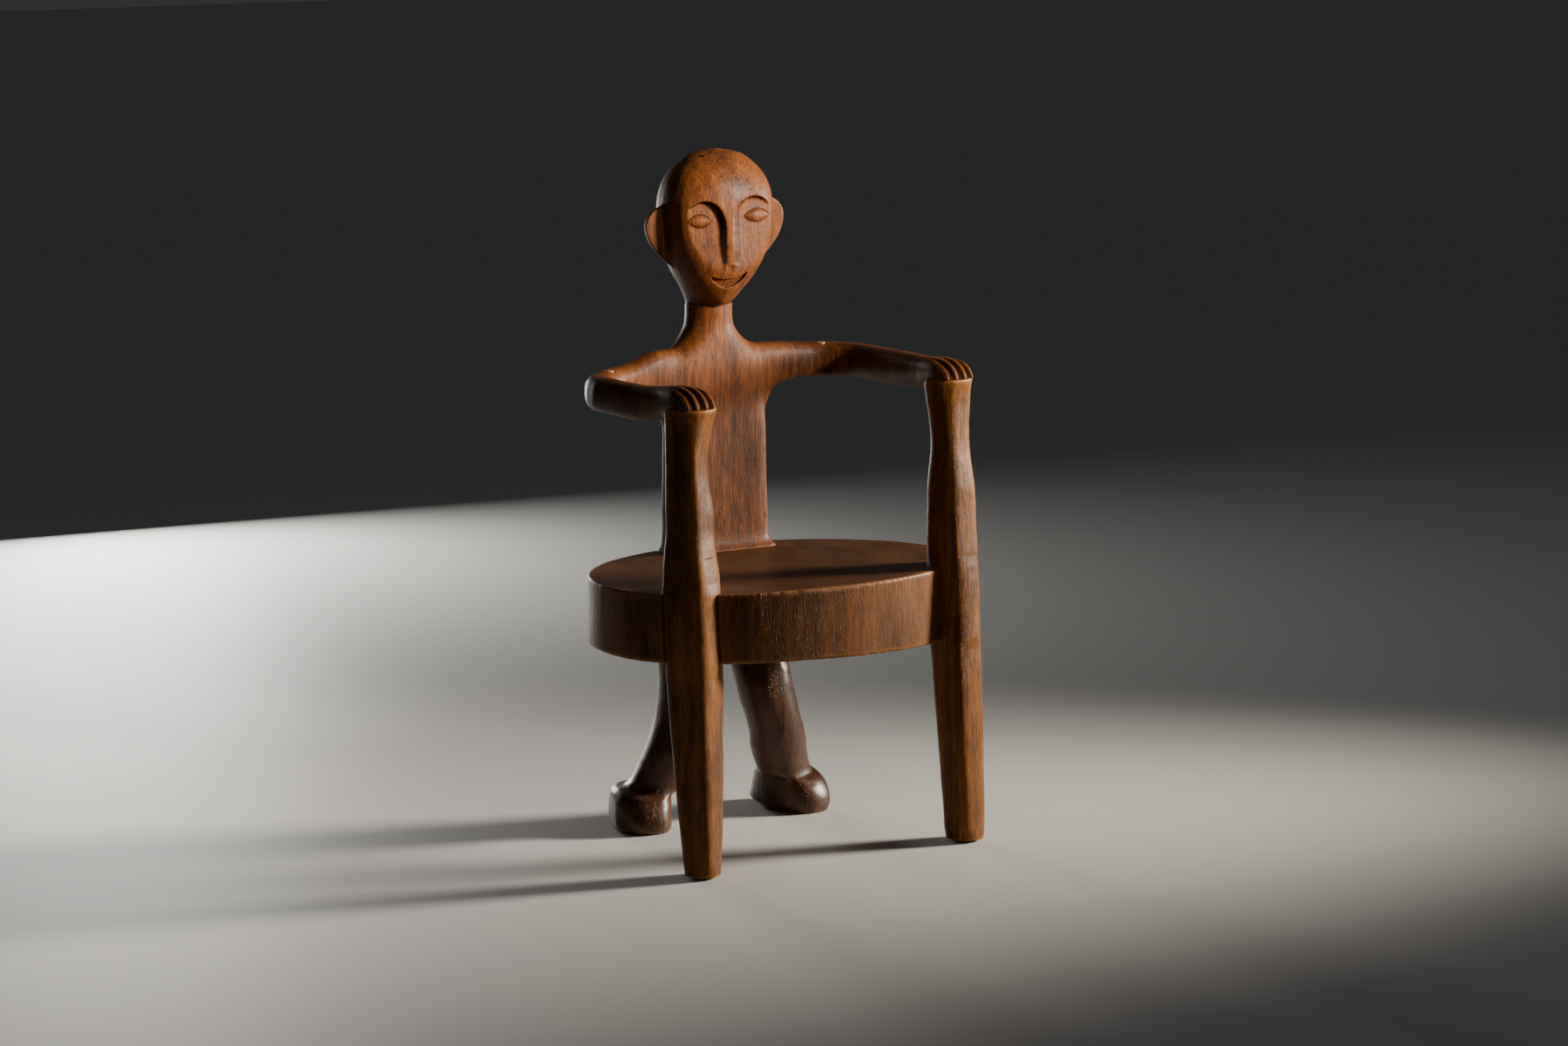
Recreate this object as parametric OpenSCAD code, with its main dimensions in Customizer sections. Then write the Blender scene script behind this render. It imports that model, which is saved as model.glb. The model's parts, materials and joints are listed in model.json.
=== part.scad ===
// Carved armchair in the form of a seated figure.
// The figure faces -Y, so its own right side is at -X and its left side at +X.
// Heights are above the floor. Depths are measured from the middle of the seat, forward is negative,
// and the finished chair is then moved so that its origin is at the middle of its outline on the floor.

/* [Seat] */
// Height of the seat's top above the floor
seat_h = 404; // [380:1:430]
// Thickness of the slab at its right tip
seat_t_right = 98; // [92:1:120]
// Thickness of the slab at its left tip
seat_t_left = 112; // [92:1:120]
// Half of the seat's width
seat_half_w = 298; // [275:1:320]
// Reach of the rim in front of the seat's middle
seat_front = 194; // [185:1:210]
// Reach of the rim behind the seat's middle
seat_back = 214; // [206:1:230]
// How far forward the widest line of the seat lies
seat_wide_line = 24; // [0:1:50]
// Fullness of the rim's front corner, where 2 is an ellipse and more is squarer, right
seat_front_fullness_right = 2.5; // [1.6:0.1:3]
// Fullness of the rim's front corner, where 2 is an ellipse and more is squarer, left
seat_front_fullness_left = 1.8; // [1.6:0.1:3]
// Fullness of the rim's back corners
seat_back_fullness = 2.05; // [1.9:0.05:2.4]

/* [Torso] */
// Width of the back board
back_w = 166; // [130:1:175]
// Thickness of the back board
back_t = 50; // [40:1:52]
// Depth of the back board's front face behind the seat's middle
back_y = 151; // [140:1:155]
// Height of the top of the shoulders
shoulder_h = 709; // [695:1:720]
// Height of the neck's top, where the head sits
neck_top = 770; // [755:1:790]
// Width of the neck
neck_w = 70; // [60:1:76]
// Depth of the neck's middle behind the seat's middle
neck_y = 193; // [184:1:198]

/* [Head] */
// Height of the head from the chin to the crown
head_h = 230; // [210:1:250]
// Width of the head without its ears
head_w = 168; // [150:1:180]
// Depth of the head from the face to the back
head_d = 158; // [145:1:175]
// How far the head's middle lies in front of the neck's
head_forward = 17; // [8:1:20]
// Turn of the face towards the figure's right, in degrees
head_turn = 7; // [0:1:20]
// Reach of each ear's edge from the head's middle
ear_reach = 127; // [105:1:132]
// Height of each ear
ear_h = 104; // [70:1:108]
// Thickness of each ear
ear_t = 10; // [7:1:14]
// How much the left ear stands higher than the right, as a tilt in degrees
ear_tilt = 3.5; // [0:0.5:5]
// How far the crown leans towards the figure's left
head_lean = 5; // [0:1:8]

/* [Arms] */
// Radius of the fillet under each arm, where it leaves the board
armpit_r = 40; // [30:1:48]
// Overall width over the elbows
arm_span = 490; // [476:1:510]
// Thickness of the arms, seen from above
arm_t = 44; // [38:1:50]
// Depth of the forearms, seen from the side
arm_depth = 50; // [46:1:56]
// Outer radius of the elbows, seen from above
elbow_r = 93; // [85:1:105]
// Height of the arm's top at the elbow, right
elbow_h_right = 683; // [670:1:708]
// Height of the arm's top at the elbow, left
elbow_h_left = 702; // [670:1:708]
// Height of the knuckles, right
knuckle_h_right = 695; // [690:1:715]
// Height of the knuckles, left
knuckle_h_left = 707; // [703:1:720]
// Width of the hands over the four fingers
hand_w = 58; // [52:1:66]
// How far the fingertips reach in front of a post top's middle
hand_reach = 36; // [32:1:42]

/* [Front posts] */
// Height of the front post's top, right
post_h_right = 667; // [650:1:676]
// Height of the front post's top, left
post_h_left = 680; // [664:1:688]
// How far inside the seat's widest reach each post's middle stands
post_inset = 77; // [70:1:86]
// How far in front of the seat's middle each post stands, at the seat
post_y = 132; // [126:1:138]
// How far each foot of a post stands in front of the same post at the seat
post_rake = 33; // [0:1:45]
// How far back each post leans from the seat to its top
post_lean = 10; // [0:1:16]
// Width of the front post at the floor, right
post_foot_w_right = 50; // [44:1:60]
// Width of the front post at the floor, left
post_foot_w_left = 52; // [44:1:60]
// Width of the front post at the seat, right
post_seat_w_right = 77; // [60:1:82]
// Width of the front post at the seat, left
post_seat_w_left = 69; // [60:1:82]
// Width of the front post at its waist, right
post_waist_w_right = 62; // [50:1:66]
// Width of the front post at its waist, left
post_waist_w_left = 57; // [50:1:66]
// How far above the seat the front post swells, right
post_swell_right = 90; // [60:5:150]
// How far above the seat the front post swells, left
post_swell_left = 190; // [60:5:195]
// Turn of the front post's arris towards the figure's right, in degrees, right
post_turn_right = 16; // [0:1:45]
// Turn of the front post's arris towards the figure's right, in degrees, left
post_turn_left = 31; // [0:1:45]

/* [Hind legs] */
// Distance of each hind leg's middle from the chair's middle, under the seat
leg_top_x = 58; // [54:1:66]
// Distance of the foot's middle from the chair's middle, right
foot_x_right = 140; // [118:1:145]
// Distance of the foot's middle from the chair's middle, left
foot_x_left = 120; // [118:1:145]
// Depth of each hind leg's middle behind the seat's middle
leg_y = 166; // [160:1:170]
// Width of the hind legs across the shin
shin_w = 84; // [74:1:92]
// Length of the hind feet
foot_l = 134; // [120:1:146]
// How high the edge of the heel stands off the floor, right
heel_lift_right = 5; // [4:1:14]
// How high the edge of the heel stands off the floor, left
heel_lift_left = 10; // [4:1:14]
// Height of the crease where the shin meets the foot
instep_h = 62; // [54:1:70]
// How far the knees stand in front of the hips
knee_forward = 28; // [10:1:34]
// How far the ankles stand in front of the hips
ankle_forward = 19; // [8:1:24]
// Turn of each foot's toes outward, in degrees
toe_out = 15; // [0:1:25]

/* [Joinery] */
// Length of the torso's tenon
back_tenon_l = 46; // [38:1:48]
// Thickness of the torso's tenon
back_tenon_t = 26; // [20:1:30]
// Diameter of each hind leg's round tenon
leg_tenon_d = 46; // [36:1:52]
// Length of each hind leg's round tenon
leg_tenon_l = 38; // [30:1:40]
// Diameter of the neck dowel
neck_dowel_d = 24; // [16:1:30]
// Length of the neck dowel
neck_dowel_l = 90; // [60:1:110]
// Diameter of the elbow dowels
elbow_dowel_d = 12; // [10:1:14]
// Length of the elbow dowels
elbow_dowel_l = 60; // [48:1:64]
// Diameter of the elbow pegs, whose heads show on the arms
elbow_peg_d = 8; // [6:1:9]
// Diameter of the hand dowels
hand_dowel_d = 14; // [10:1:18]
// Length of the hand dowels
hand_dowel_l = 62; // [50:1:66]
// Diameter of the dowels between posts and seat
post_dowel_d = 12; // [10:1:14]
// Length of the dowels between posts and seat
post_dowel_l = 88; // [80:1:100]
// Diameter of the pins through the tenons
pin_d = 8; // [6:1:10]
// Diameter of the glide under each front post
glide_d = 30; // [20:1:36]
// Thickness of the glides
glide_t = 3; // [2:0.5:5]

/* [Hidden] */
$fn = 48;

// Clearance round a dowel, pin or tenon
fit_gap = 0.1;
// Extra length of a blind hole past the end of what it holds
end_gap = 1;
// Points round a carved section
ring_points = 32;
// Reach of a cutting block past what it cuts
clear_of = 60;
RIGHT = 0;
LEFT = 1;

// Values that differ from side to side, as [right, left]
seat_front_fullness = [seat_front_fullness_right, seat_front_fullness_left];
elbow_h = [elbow_h_right, elbow_h_left];
knuckle_h = [knuckle_h_right, knuckle_h_left];
post_h = [post_h_right, post_h_left];
post_foot_w = [post_foot_w_right, post_foot_w_left];
post_seat_w = [post_seat_w_right, post_seat_w_left];
post_waist_w = [post_waist_w_right, post_waist_w_left];
post_swell = [post_swell_right, post_swell_left];
post_turn = [post_turn_right, post_turn_left];
post_x = seat_half_w - post_inset;
foot_x = [foot_x_right, foot_x_left];
heel_lift = [heel_lift_right, heel_lift_left];

wood_red = [0.45, 0.25, 0.17];
wood_seat = [0.36, 0.22, 0.15];
wood_post = [0.60, 0.36, 0.18];
wood_leg = [0.30, 0.17, 0.12];
wood_dowel = [0.78, 0.62, 0.42];
pad_dark = [0.12, 0.11, 0.10];

// Reaches that set the origin: the seat's rim in front, the back of the head behind
head_y = neck_y - head_forward;
head_front = 0.44 * head_d;
head_back = head_d - head_front;
head_reach = head_y + head_back;
mid_y = (head_reach - seat_front) / 2;

// A row of a station table, smoothly between its neighbours. The first column is the station.
function segment(table, at, i = 0) = i >= len(table) - 2 || at < table[i + 1][0]
    ? i
    : segment(table, at, i + 1);
function slope(table, i) = i <= 0 || i >= len(table) - 1
    ? 0 * table[0]
    : (table[i + 1] - table[i - 1]) / (table[i + 1][0] - table[i - 1][0]);
function blended(a, b, slope_a, slope_b, h, f) = (2 * f ^ 3 - 3 * f ^ 2 + 1) * a
    + (f ^ 3 - 2 * f ^ 2 + f) * h * slope_a
    + (3 * f ^ 2 - 2 * f ^ 3) * b
    + (f ^ 3 - f ^ 2) * h * slope_b;
function row_at(table, at) = let (i = segment(table, at), h = table[i + 1][0] - table[i][0])
    blended(table[i], table[i + 1], slope(table, i), slope(table, i + 1), h, (at - table[i][0]) / h);

// Stations of a table: its own rows, each span cut into the given number of steps
function stations(table, steps) = [
    for (i = [0:len(table) - 2], k = [0:steps - 1]) table[i][0] + (table[i + 1][0] - table[i][0]) * k / steps,
    table[len(table) - 1][0]
];

// One coordinate of a superellipse, where c is the cosine or sine of the angle
function rounded(c, fullness) = sign(c) * abs(c) ^ (2 / fullness);

// A level ring: half width a, reaches to the front and the back, and a fullness for each of the two
function level_ring(x, y, z, a, front, back, full_front, full_back, turn) = [
    for (i = [0:ring_points - 1])
        let (
            t = 360 * i / ring_points,
            ahead = sin(t) < 0,
            full = ahead ? full_front : full_back,
            u = a * rounded(cos(t), full),
            v = (ahead ? front : back) * rounded(sin(t), full)
        )
        [x + u * cos(turn) - v * sin(turn), y + u * sin(turn) + v * cos(turn), z]
];

// A closed skin over rings that run anticlockwise round their direction of travel
module skin(rings) {
    n = len(rings[0]);
    last = (len(rings) - 1) * n;
    walls = [
        for (j = [0:len(rings) - 2], i = [0:n - 1], half = [0, 1])
            let (p = j * n + i, q = j * n + (i + 1) % n)
            half == 0 ? [p, p + n, q + n] : [p, q + n, q]
    ];
    start = [for (i = [0:n - 1]) i];
    end = [for (i = [n - 1:-1:0]) last + i];
    polyhedron(points = [for (r = rings) each r], faces = concat([start], walls, [end]));
}

// Puts the chair's own frame on the floor under the middle of its outline
module placed(colour) {
    color(colour) translate([0, -mid_y, 0]) children();
}

// Mirrors what is drawn on the left side over to the right side
module on_side(side) {
    mirror([side == RIGHT ? 1 : 0, 0, 0]) children();
}

// Seat. The underside slopes a little, because the slab is thicker on the left.
seat_slope = atan2(seat_t_left - seat_t_right, 2 * seat_half_w);
seat_t_mid = (seat_t_left + seat_t_right) / 2;
seat_under = seat_h - seat_t_mid;

function rim_point(t) = let (
        front_side = cos(t) < 0 ? seat_front_fullness[RIGHT] : seat_front_fullness[LEFT],
        ahead = sin(t) < 0,
        full = ahead ? front_side : seat_back_fullness,
        reach = ahead ? seat_front - seat_wide_line : seat_back + seat_wide_line
    )
    [seat_half_w * rounded(cos(t), full), -seat_wide_line + reach * rounded(sin(t), full)];

module below_seat() {
    translate([0, 0, seat_under])
        rotate([0, seat_slope, 0])
            translate([-seat_half_w - clear_of, -seat_half_w - clear_of, -seat_h - clear_of])
                cube([2 * seat_half_w + 2 * clear_of, 2 * seat_half_w + 2 * clear_of, seat_h + clear_of]);
}

module slab() {
    rim_steps = 96;
    top = max(seat_t_left, seat_t_right) + clear_of;
    difference() {
        translate([0, 0, seat_h - top])
            linear_extrude(top)
                polygon([for (i = [0:rim_steps - 1]) rim_point(360 * i / rim_steps)]);
        below_seat();
    }
}

module seat() {
    placed(wood_seat)
        difference() {
            slab();
            for (side = [RIGHT, LEFT]) {
                post_skin(side, fit_gap);
                post_dowel_pair(side, fit_gap, end_gap);
                leg_tenon(side, fit_gap, end_gap);
                leg_pin_body(side, fit_gap, end_gap);
            }
            back_tenon(fit_gap, end_gap);
            back_pin_bodies(fit_gap, end_gap);
        }
}

// Torso. Rows: height, half width, front face, back face, fullness.
back_rear = back_y + back_t;
base_flare = 10;
board_fullness = 6;
shoulder_w = back_w + 20;
torso_table = [
    [seat_h, back_w / 2 + base_flare, back_y - base_flare, back_rear, board_fullness],
    [seat_h + 8, back_w / 2 + 4, back_y - 4, back_rear, board_fullness],
    [seat_h + 22, back_w / 2 + 1, back_y, back_rear, board_fullness],
    [seat_h + 60, back_w / 2, back_y + 1, back_rear, board_fullness],
    [shoulder_h - 120, back_w / 2 - 2, back_y + 3, back_rear, board_fullness],
    [shoulder_h - 80, back_w / 2 - 1, back_y + 3, back_rear, 4.5],
    [shoulder_h - 50, shoulder_w / 2 - 2, back_y + 2, back_rear, 3.4],
    [shoulder_h - 25, shoulder_w / 2 - 2, back_y + 2, back_rear + 4, 3],
    [shoulder_h - 5, shoulder_w / 2 - 22, back_y + 4, back_rear + 11, 2.6],
    [shoulder_h + 10, neck_w / 2 + 15, neck_y - neck_w / 2 - 2, neck_y + neck_w / 2 - 3, 2.3],
    [shoulder_h + 30, neck_w / 2 + 2, neck_y - neck_w / 2 + 1, neck_y + neck_w / 2 - 1, 2.1],
    [neck_top, neck_w / 2, neck_y - neck_w / 2, neck_y + neck_w / 2, 2]
];
back_tenon_edge = 22;
back_tenon_w = back_w - 2 * back_tenon_edge;
back_tenon_y = back_y + back_t / 2;

function torso_ring(z) = let (r = row_at(torso_table, z), middle = (r[2] + r[3]) / 2)
    level_ring(0, middle, z, r[1], middle - r[2], r[3] - middle, r[4], r[4], 0);

module back_tenon(grow, deeper) {
    l = back_tenon_l + deeper;
    translate([-back_tenon_w / 2 - grow, back_tenon_y - back_tenon_t / 2 - grow, seat_h - l])
        cube([back_tenon_w + 2 * grow, back_tenon_t + 2 * grow, l + (deeper > 0 ? 1 : 0)]);
}

module torso() {
    placed(wood_red)
        difference() {
            union() {
                skin([for (z = stations(torso_table, 3)) torso_ring(z)]);
                back_tenon(0, 0);
                for (side = [RIGHT, LEFT])
                    on_side(side)
                        arm_skin(side, 0, mitre_at);
            }
            neck_dowel_body(fit_gap, end_gap);
            back_pin_bodies(fit_gap, end_gap);
            for (side = [RIGHT, LEFT]) {
                elbow_dowel_body(side, fit_gap, end_gap);
                elbow_peg_body(side, fit_gap, end_gap);
            }
        }
}

// Arms, drawn on the left side. Each runs along a path seen from above: sideways, round the elbow, forward.
arm_out = arm_span / 2;
bend_r = elbow_r - arm_t / 2;
bend_x = arm_out - elbow_r;
bend_y = back_rear - elbow_r;
arm_root = 30;
root_x = back_w / 2 - arm_root;
run_side = bend_x - root_x;
run_bend = bend_r * PI / 2;
mitre_at = run_side + run_bend / 2;
post_top_in = 4;
post_top_x = post_x - post_top_in;
post_top_y = -post_y + post_lean;
tip_y = post_top_y - hand_reach;
run_fore = bend_y - tip_y;
run_total = run_side + run_bend + run_fore;

// The forearm draws in a little, so that the hand lies over the middle of its post
draw_in = bend_x + bend_r - post_top_x;
function path_turn(s) = 90 * min(1, max(0, (s - run_side) / run_bend));
function path_point(s) = let (
        a = path_turn(s),
        over = max(0, s - run_side - run_bend),
        inward = draw_in * min(1, over / (run_fore - hand_reach))
    )
    [min(root_x + s, bend_x) + bend_r * sin(a) - inward, bend_y + bend_r * cos(a) - over];

// Rows: distance along the path, height of the top, height of the underside, half thickness, fullness
function arm_table(side) = let (under = elbow_h[side] - arm_depth, drop = shoulder_h - elbow_h[side]) [
    [0, shoulder_h, under - 2 * armpit_r, arm_t / 2, 3],
    [arm_root, shoulder_h - 1, under - armpit_r, arm_t / 2, 3],
    [arm_root + 0.2 * armpit_r, shoulder_h - 1, under - 0.55 * armpit_r, arm_t / 2, 3],
    [arm_root + 0.45 * armpit_r, shoulder_h - 2, under - 0.3 * armpit_r, arm_t / 2, 3],
    [arm_root + 0.85 * armpit_r, shoulder_h - 0.25 * drop, under - 0.15 * armpit_r, arm_t / 2, 2.8],
    [run_side, shoulder_h - 0.75 * drop, under - 2, arm_t / 2, 2.8],
    [mitre_at, elbow_h[side], under - 1, arm_t / 2, 2.8],
    [run_side + run_bend, elbow_h[side], under, arm_t / 2, 2.8],
    [run_total - 150, elbow_h[side] + 2, under + 1, arm_t / 2, 2.8],
    [run_total - 90, knuckle_h[side] - 3, post_h[side] - 20, arm_t / 2 + 1, 2.8],
    [run_total - 60, knuckle_h[side], post_h[side] - 16, hand_w / 2 - 2, 2.8],
    [run_total - 36, knuckle_h[side] - 1, post_h[side] - 10, hand_w / 2, 3],
    [run_total - 16, knuckle_h[side] - 7, post_h[side] - 10, hand_w / 2 - 2, 3],
    [run_total - 4, knuckle_h[side] - 17, post_h[side] - 10, hand_w / 2 - 6, 2.8],
    [run_total, knuckle_h[side] - 24, post_h[side] - 10, hand_w / 2 - 10, 2.6]
];

function arm_ring(side, s) = let (
        r = row_at(arm_table(side), s),
        p = path_point(s),
        a = path_turn(s),
        middle = (r[1] + r[2]) / 2,
        half_h = (r[1] - r[2]) / 2
    )
    [
        for (i = [0:ring_points - 1])
            let (
                t = 360 * i / ring_points,
                u = r[3] * rounded(cos(t), r[4]),
                v = half_h * rounded(sin(t), r[4])
            )
            [p[0] + u * sin(a), p[1] + u * cos(a), middle + v]
    ];

module arm_skin(side, from, to) {
    inner = [for (s = stations(arm_table(side), 3)) if (s > from + 1 && s < to - 1) s];
    skin([for (s = concat([from], inner, [to])) arm_ring(side, s)]);
}

// The seam between hand and post: level under the fingers, then sloping down behind them
seam_back = 33;
seam_drop = 22;
module below_seam(side) {
    h = post_h[side];
    edge = post_top_y + seam_back;
    level_end = edge - 1.2 * seam_drop;
    translate([post_x - clear_of, 0, 0])
        rotate([90, 0, 90])
            linear_extrude(2 * clear_of)
                polygon([
                    [tip_y - clear_of, h], [level_end, h], [edge, h - seam_drop], [edge, -clear_of],
                    [tip_y - clear_of, -clear_of]
                ]);
}

module arm(side) {
    placed(wood_red)
        difference() {
            on_side(side)
                difference() {
                    arm_skin(side, mitre_at, run_total);
                    below_seam(side);
                }
            elbow_dowel_body(side, fit_gap, end_gap);
            hand_dowel_body(side, fit_gap, end_gap);
        }
}

// Head. Rows: share of the height, shift back, half width, front, back, fullness of the front.
head_table = [
    [0, 1, 0.40, 0.60, 0.38, 1.5],
    [0.022, 0.95, 0.42, 0.71, 0.39, 1.6],
    [0.07, 0.75, 0.49, 0.83, 0.43, 1.8],
    [0.13, 0.5, 0.59, 0.89, 0.50, 2.0],
    [0.20, 0.3, 0.715, 0.93, 0.62, 2.3],
    [0.30, 0.1, 0.85, 0.96, 0.79, 2.5],
    [0.40, 0, 0.93, 0.98, 0.90, 2.6],
    [0.52, 0, 0.985, 1, 0.975, 2.6],
    [0.65, 0, 1, 0.99, 0.99, 2.5],
    [0.74, 0, 0.965, 0.95, 0.95, 2.4],
    [0.81, 0, 0.895, 0.88, 0.87, 2.3],
    [0.87, 0, 0.785, 0.77, 0.75, 2.2],
    [0.92, 0, 0.645, 0.64, 0.61, 2.1],
    [0.96, 0, 0.50, 0.48, 0.45, 2],
    [0.985, 0, 0.31, 0.30, 0.28, 2],
    [1, 0, 0.06, 0.06, 0.06, 2]
];

function head_ring(f) = let (r = row_at(head_table, f))
    level_ring(head_lean * f, -head_forward + head_forward * r[1], head_h * f, head_w / 2 * r[2],
        head_front * r[3], head_back * r[4], r[5], 2.2, 0);

// A leaf that is broad at the top and draws in towards the jaw
module ear() {
    ear_steps = 40;
    ear_sink = 26;
    inner = head_w / 2 - ear_sink;
    reach = ear_reach - inner;
    low = 0.23 * head_h;
    translate([0, ear_t / 2, 0])
        rotate([90, 0, 0])
            linear_extrude(ear_t)
                polygon([
                    for (i = [0:ear_steps - 1])
                        let (t = 360 * i / ear_steps, up = (1 + sin(t)) / 2)
                        [inner - 8 + 8 * up + (0.45 + 0.55 * up ^ 0.8) * reach * max(0, rounded(cos(t), 2.2)),
                            low + ear_h * up]
                ]);
}

module head() {
    placed(wood_red)
        difference() {
            translate([0, neck_y, neck_top])
                rotate([0, 0, -head_turn]) {
                    skin([for (f = stations(head_table, 2)) head_ring(f)]);
                    translate([head_lean / 2, -head_forward, head_h / 2])
                        rotate([0, -ear_tilt, 0])
                            for (flip = [0, 1])
                                mirror([flip, 0, 0])
                                    translate([0, 0, -head_h / 2])
                                        ear();
                }
            neck_dowel_body(fit_gap, end_gap);
        }
}

// How far each post's foot stands outside the same post at the seat
post_foot_out = 2;

// Front posts. Rows: height, distance out, distance forward, half width, fullness.
function post_table(side) = let (
        h = post_h[side],
        foot = post_foot_w[side] / 2,
        full = post_seat_w[side] / 2,
        waist = post_waist_w[side] / 2,
        swell = post_swell[side]
    )
    [
        [glide_t, post_x + post_foot_out, post_y + post_rake, foot, 2.4],
        [glide_t + 18, post_x + post_foot_out, post_y + post_rake - 1, foot + 1.5, 2.5],
        [seat_h * 0.45, post_x + 1, post_y + post_rake * 0.55, (foot + 2 * full) / 3, 2.6],
        [seat_h * 0.72, post_x, post_y + post_rake * 0.24, full - 0.5, 2.6],
        [seat_h, post_x, post_y, full, 2.6],
        [seat_h + swell * 0.25, post_x - 1, post_y - post_lean * 0.2, full - 1, 2.6],
        [seat_h + swell * 0.62, post_x - 1, post_y - post_lean * 0.5, (full + waist) / 2, 2.6],
        [seat_h + swell, post_x - 2, post_y - post_lean * 0.8, waist + 1, 2.6],
        [h - 22, post_top_x, post_y - post_lean, waist + 2, 2.7],
        [h + 4, post_top_x, post_y - post_lean, waist + 4, 2.8]
    ];

// Each post's front arris is a corner of its rounded section
module post_skin(side, grow) {
    table = post_table(side);
    on_side(side)
        skin([
            for (z = stations(table, 3))
                let (r = row_at(table, z), own_turn = side == RIGHT ? post_turn[side] : -post_turn[side])
                level_ring(r[1], -r[2], z, r[3] + grow, r[3] + grow, r[3] + grow, r[4], r[4], 45 + own_turn)
        ]);
}

module front_post(side) {
    placed(wood_post)
        difference() {
            intersection() {
                post_skin(side, 0);
                on_side(side) below_seam(side);
            }
            hand_dowel_body(side, fit_gap, end_gap);
            post_dowel_pair(side, fit_gap, end_gap);
        }
}

module glide(side) {
    placed(pad_dark)
        on_side(side)
            translate([post_x + post_foot_out, -post_y - post_rake, 0])
                cylinder(d = glide_d, h = glide_t);
}

// Hind legs. Rows: height, distance out, distance back, half width, front, back, turn, fullness.
shin = shin_w / 2;
heel_slope = 4;
function leg_table(side) = let (x = foot_x[side], splay = foot_x[side] - leg_top_x, lift = heel_lift[side]) [
    [0, x, leg_y - 6, shin - 2, foot_l / 2 - 3, foot_l / 2 - 1 - lift - heel_slope * (lift - 4), 1, 2.6],
    [lift, x, leg_y - 6, shin + 1, foot_l / 2, foot_l / 2 - 3, 1, 2.6],
    [instep_h * 0.4, x, leg_y - 6, shin + 2, foot_l / 2, foot_l / 2 - 4, 1, 2.5],
    [instep_h * 0.72, x - 2, leg_y - 6, shin + 1, foot_l / 2 - 5, foot_l / 2 - 9, 1, 2.4],
    [instep_h * 0.93, x - 6, leg_y - 6, shin - 1, foot_l / 2 - 13, foot_l / 2 - 16, 0.9, 2.3],
    [instep_h * 1.03, leg_top_x + 0.76 * splay, leg_y - 0.8 * ankle_forward, shin, shin - 5, shin - 3, 0.8, 2.2],
    [instep_h + 24, leg_top_x + 0.6 * splay, leg_y - ankle_forward, shin, shin - 3, shin - 3, 0.6, 2.2],
    [instep_h + 60, leg_top_x + 0.44 * splay, leg_y - 0.97 * knee_forward, shin, shin - 2, shin - 1, 0.4, 2.2],
    [instep_h + 105, leg_top_x + 0.22 * splay, leg_y - knee_forward, shin, shin, shin + 1, 0.2, 2.2],
    [instep_h + 140, leg_top_x + 0.1 * splay, leg_y - 0.78 * knee_forward, shin + 1, shin + 2, shin + 2, 0, 2.2],
    [instep_h + 185, leg_top_x + 0.04 * splay, leg_y - 0.36 * knee_forward, shin + 2, shin + 3, shin, 0, 2.2],
    [seat_h - 60, leg_top_x, leg_y, shin + 2, shin + 4, shin - 2, 0, 2.2]
];

module leg_skin(side) {
    table = leg_table(side);
    skin([
        for (z = stations(table, 3))
            let (r = row_at(table, z))
            level_ring(r[1], r[2], z, r[3], r[4], r[5], r[7], r[7], toe_out * r[6])
    ]);
}

module leg_tenon(side, grow, longer) {
    root = 20;
    on_side(side)
        translate([leg_top_x, leg_y, seat_under - root])
            cylinder(d = leg_tenon_d + 2 * grow, h = root + leg_tenon_l + longer);
}

module hind_leg(side) {
    placed(wood_leg)
        difference() {
            union() {
                intersection() {
                    on_side(side) leg_skin(side);
                    below_seat();
                }
                leg_tenon(side, 0, 0);
            }
            leg_pin_body(side, fit_gap, end_gap);
        }
}

// Dowels and pins. Each body is drawn once, and drawn again a little larger as its hole.
module neck_dowel_body(grow, longer) {
    l = neck_dowel_l + 2 * longer;
    translate([0, neck_y, neck_top - l / 2])
        cylinder(d = neck_dowel_d + 2 * grow, h = l);
}

// The elbow dowel crosses the mitre square, a little inside the middle of the arm
elbow_dowel_inset = 9;
elbow_dowel_drop = 2;
elbow_peg_back = 20;
elbow_peg_past = 6;
elbow_peg_sink = 0.5;
mitre_point = path_point(mitre_at);
elbow_axis_x = mitre_point[0] - elbow_dowel_inset * sin(45);
elbow_axis_y = mitre_point[1] - elbow_dowel_inset * cos(45);
function elbow_dowel_z(side) = elbow_h[side] - arm_depth / 2 - elbow_dowel_drop;

module elbow_dowel_body(side, grow, longer) {
    l = elbow_dowel_l + 2 * longer;
    on_side(side)
        translate([elbow_axis_x, elbow_axis_y, elbow_dowel_z(side)])
            rotate([90, 0, 45])
                cylinder(d = elbow_dowel_d + 2 * grow, h = l, center = true);
}

module elbow_dowel(side) {
    placed(wood_dowel)
        difference() {
            elbow_dowel_body(side, 0, 0);
            elbow_peg_body(side, fit_gap, end_gap);
        }
}

module elbow_peg_body(side, grow, longer) {
    drop = elbow_dowel_d / 2 + elbow_peg_past;
    top = row_at(arm_table(side), mitre_at - elbow_peg_back)[1] - elbow_peg_sink;
    from = elbow_dowel_z(side) - drop - longer;
    on_side(side)
        translate([elbow_axis_x - elbow_peg_back * sin(45), elbow_axis_y + elbow_peg_back * cos(45), from])
            cylinder(d = elbow_peg_d + 2 * grow, h = top - from + 4 * longer);
}

hand_cover = 12;
module hand_dowel_body(side, grow, longer) {
    above = knuckle_h[side] - post_h[side] - hand_cover;
    on_side(side)
        translate([post_top_x, post_top_y, post_h[side] + above - hand_dowel_l - longer])
            cylinder(d = hand_dowel_d + 2 * grow, h = hand_dowel_l + 2 * longer);
}

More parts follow.
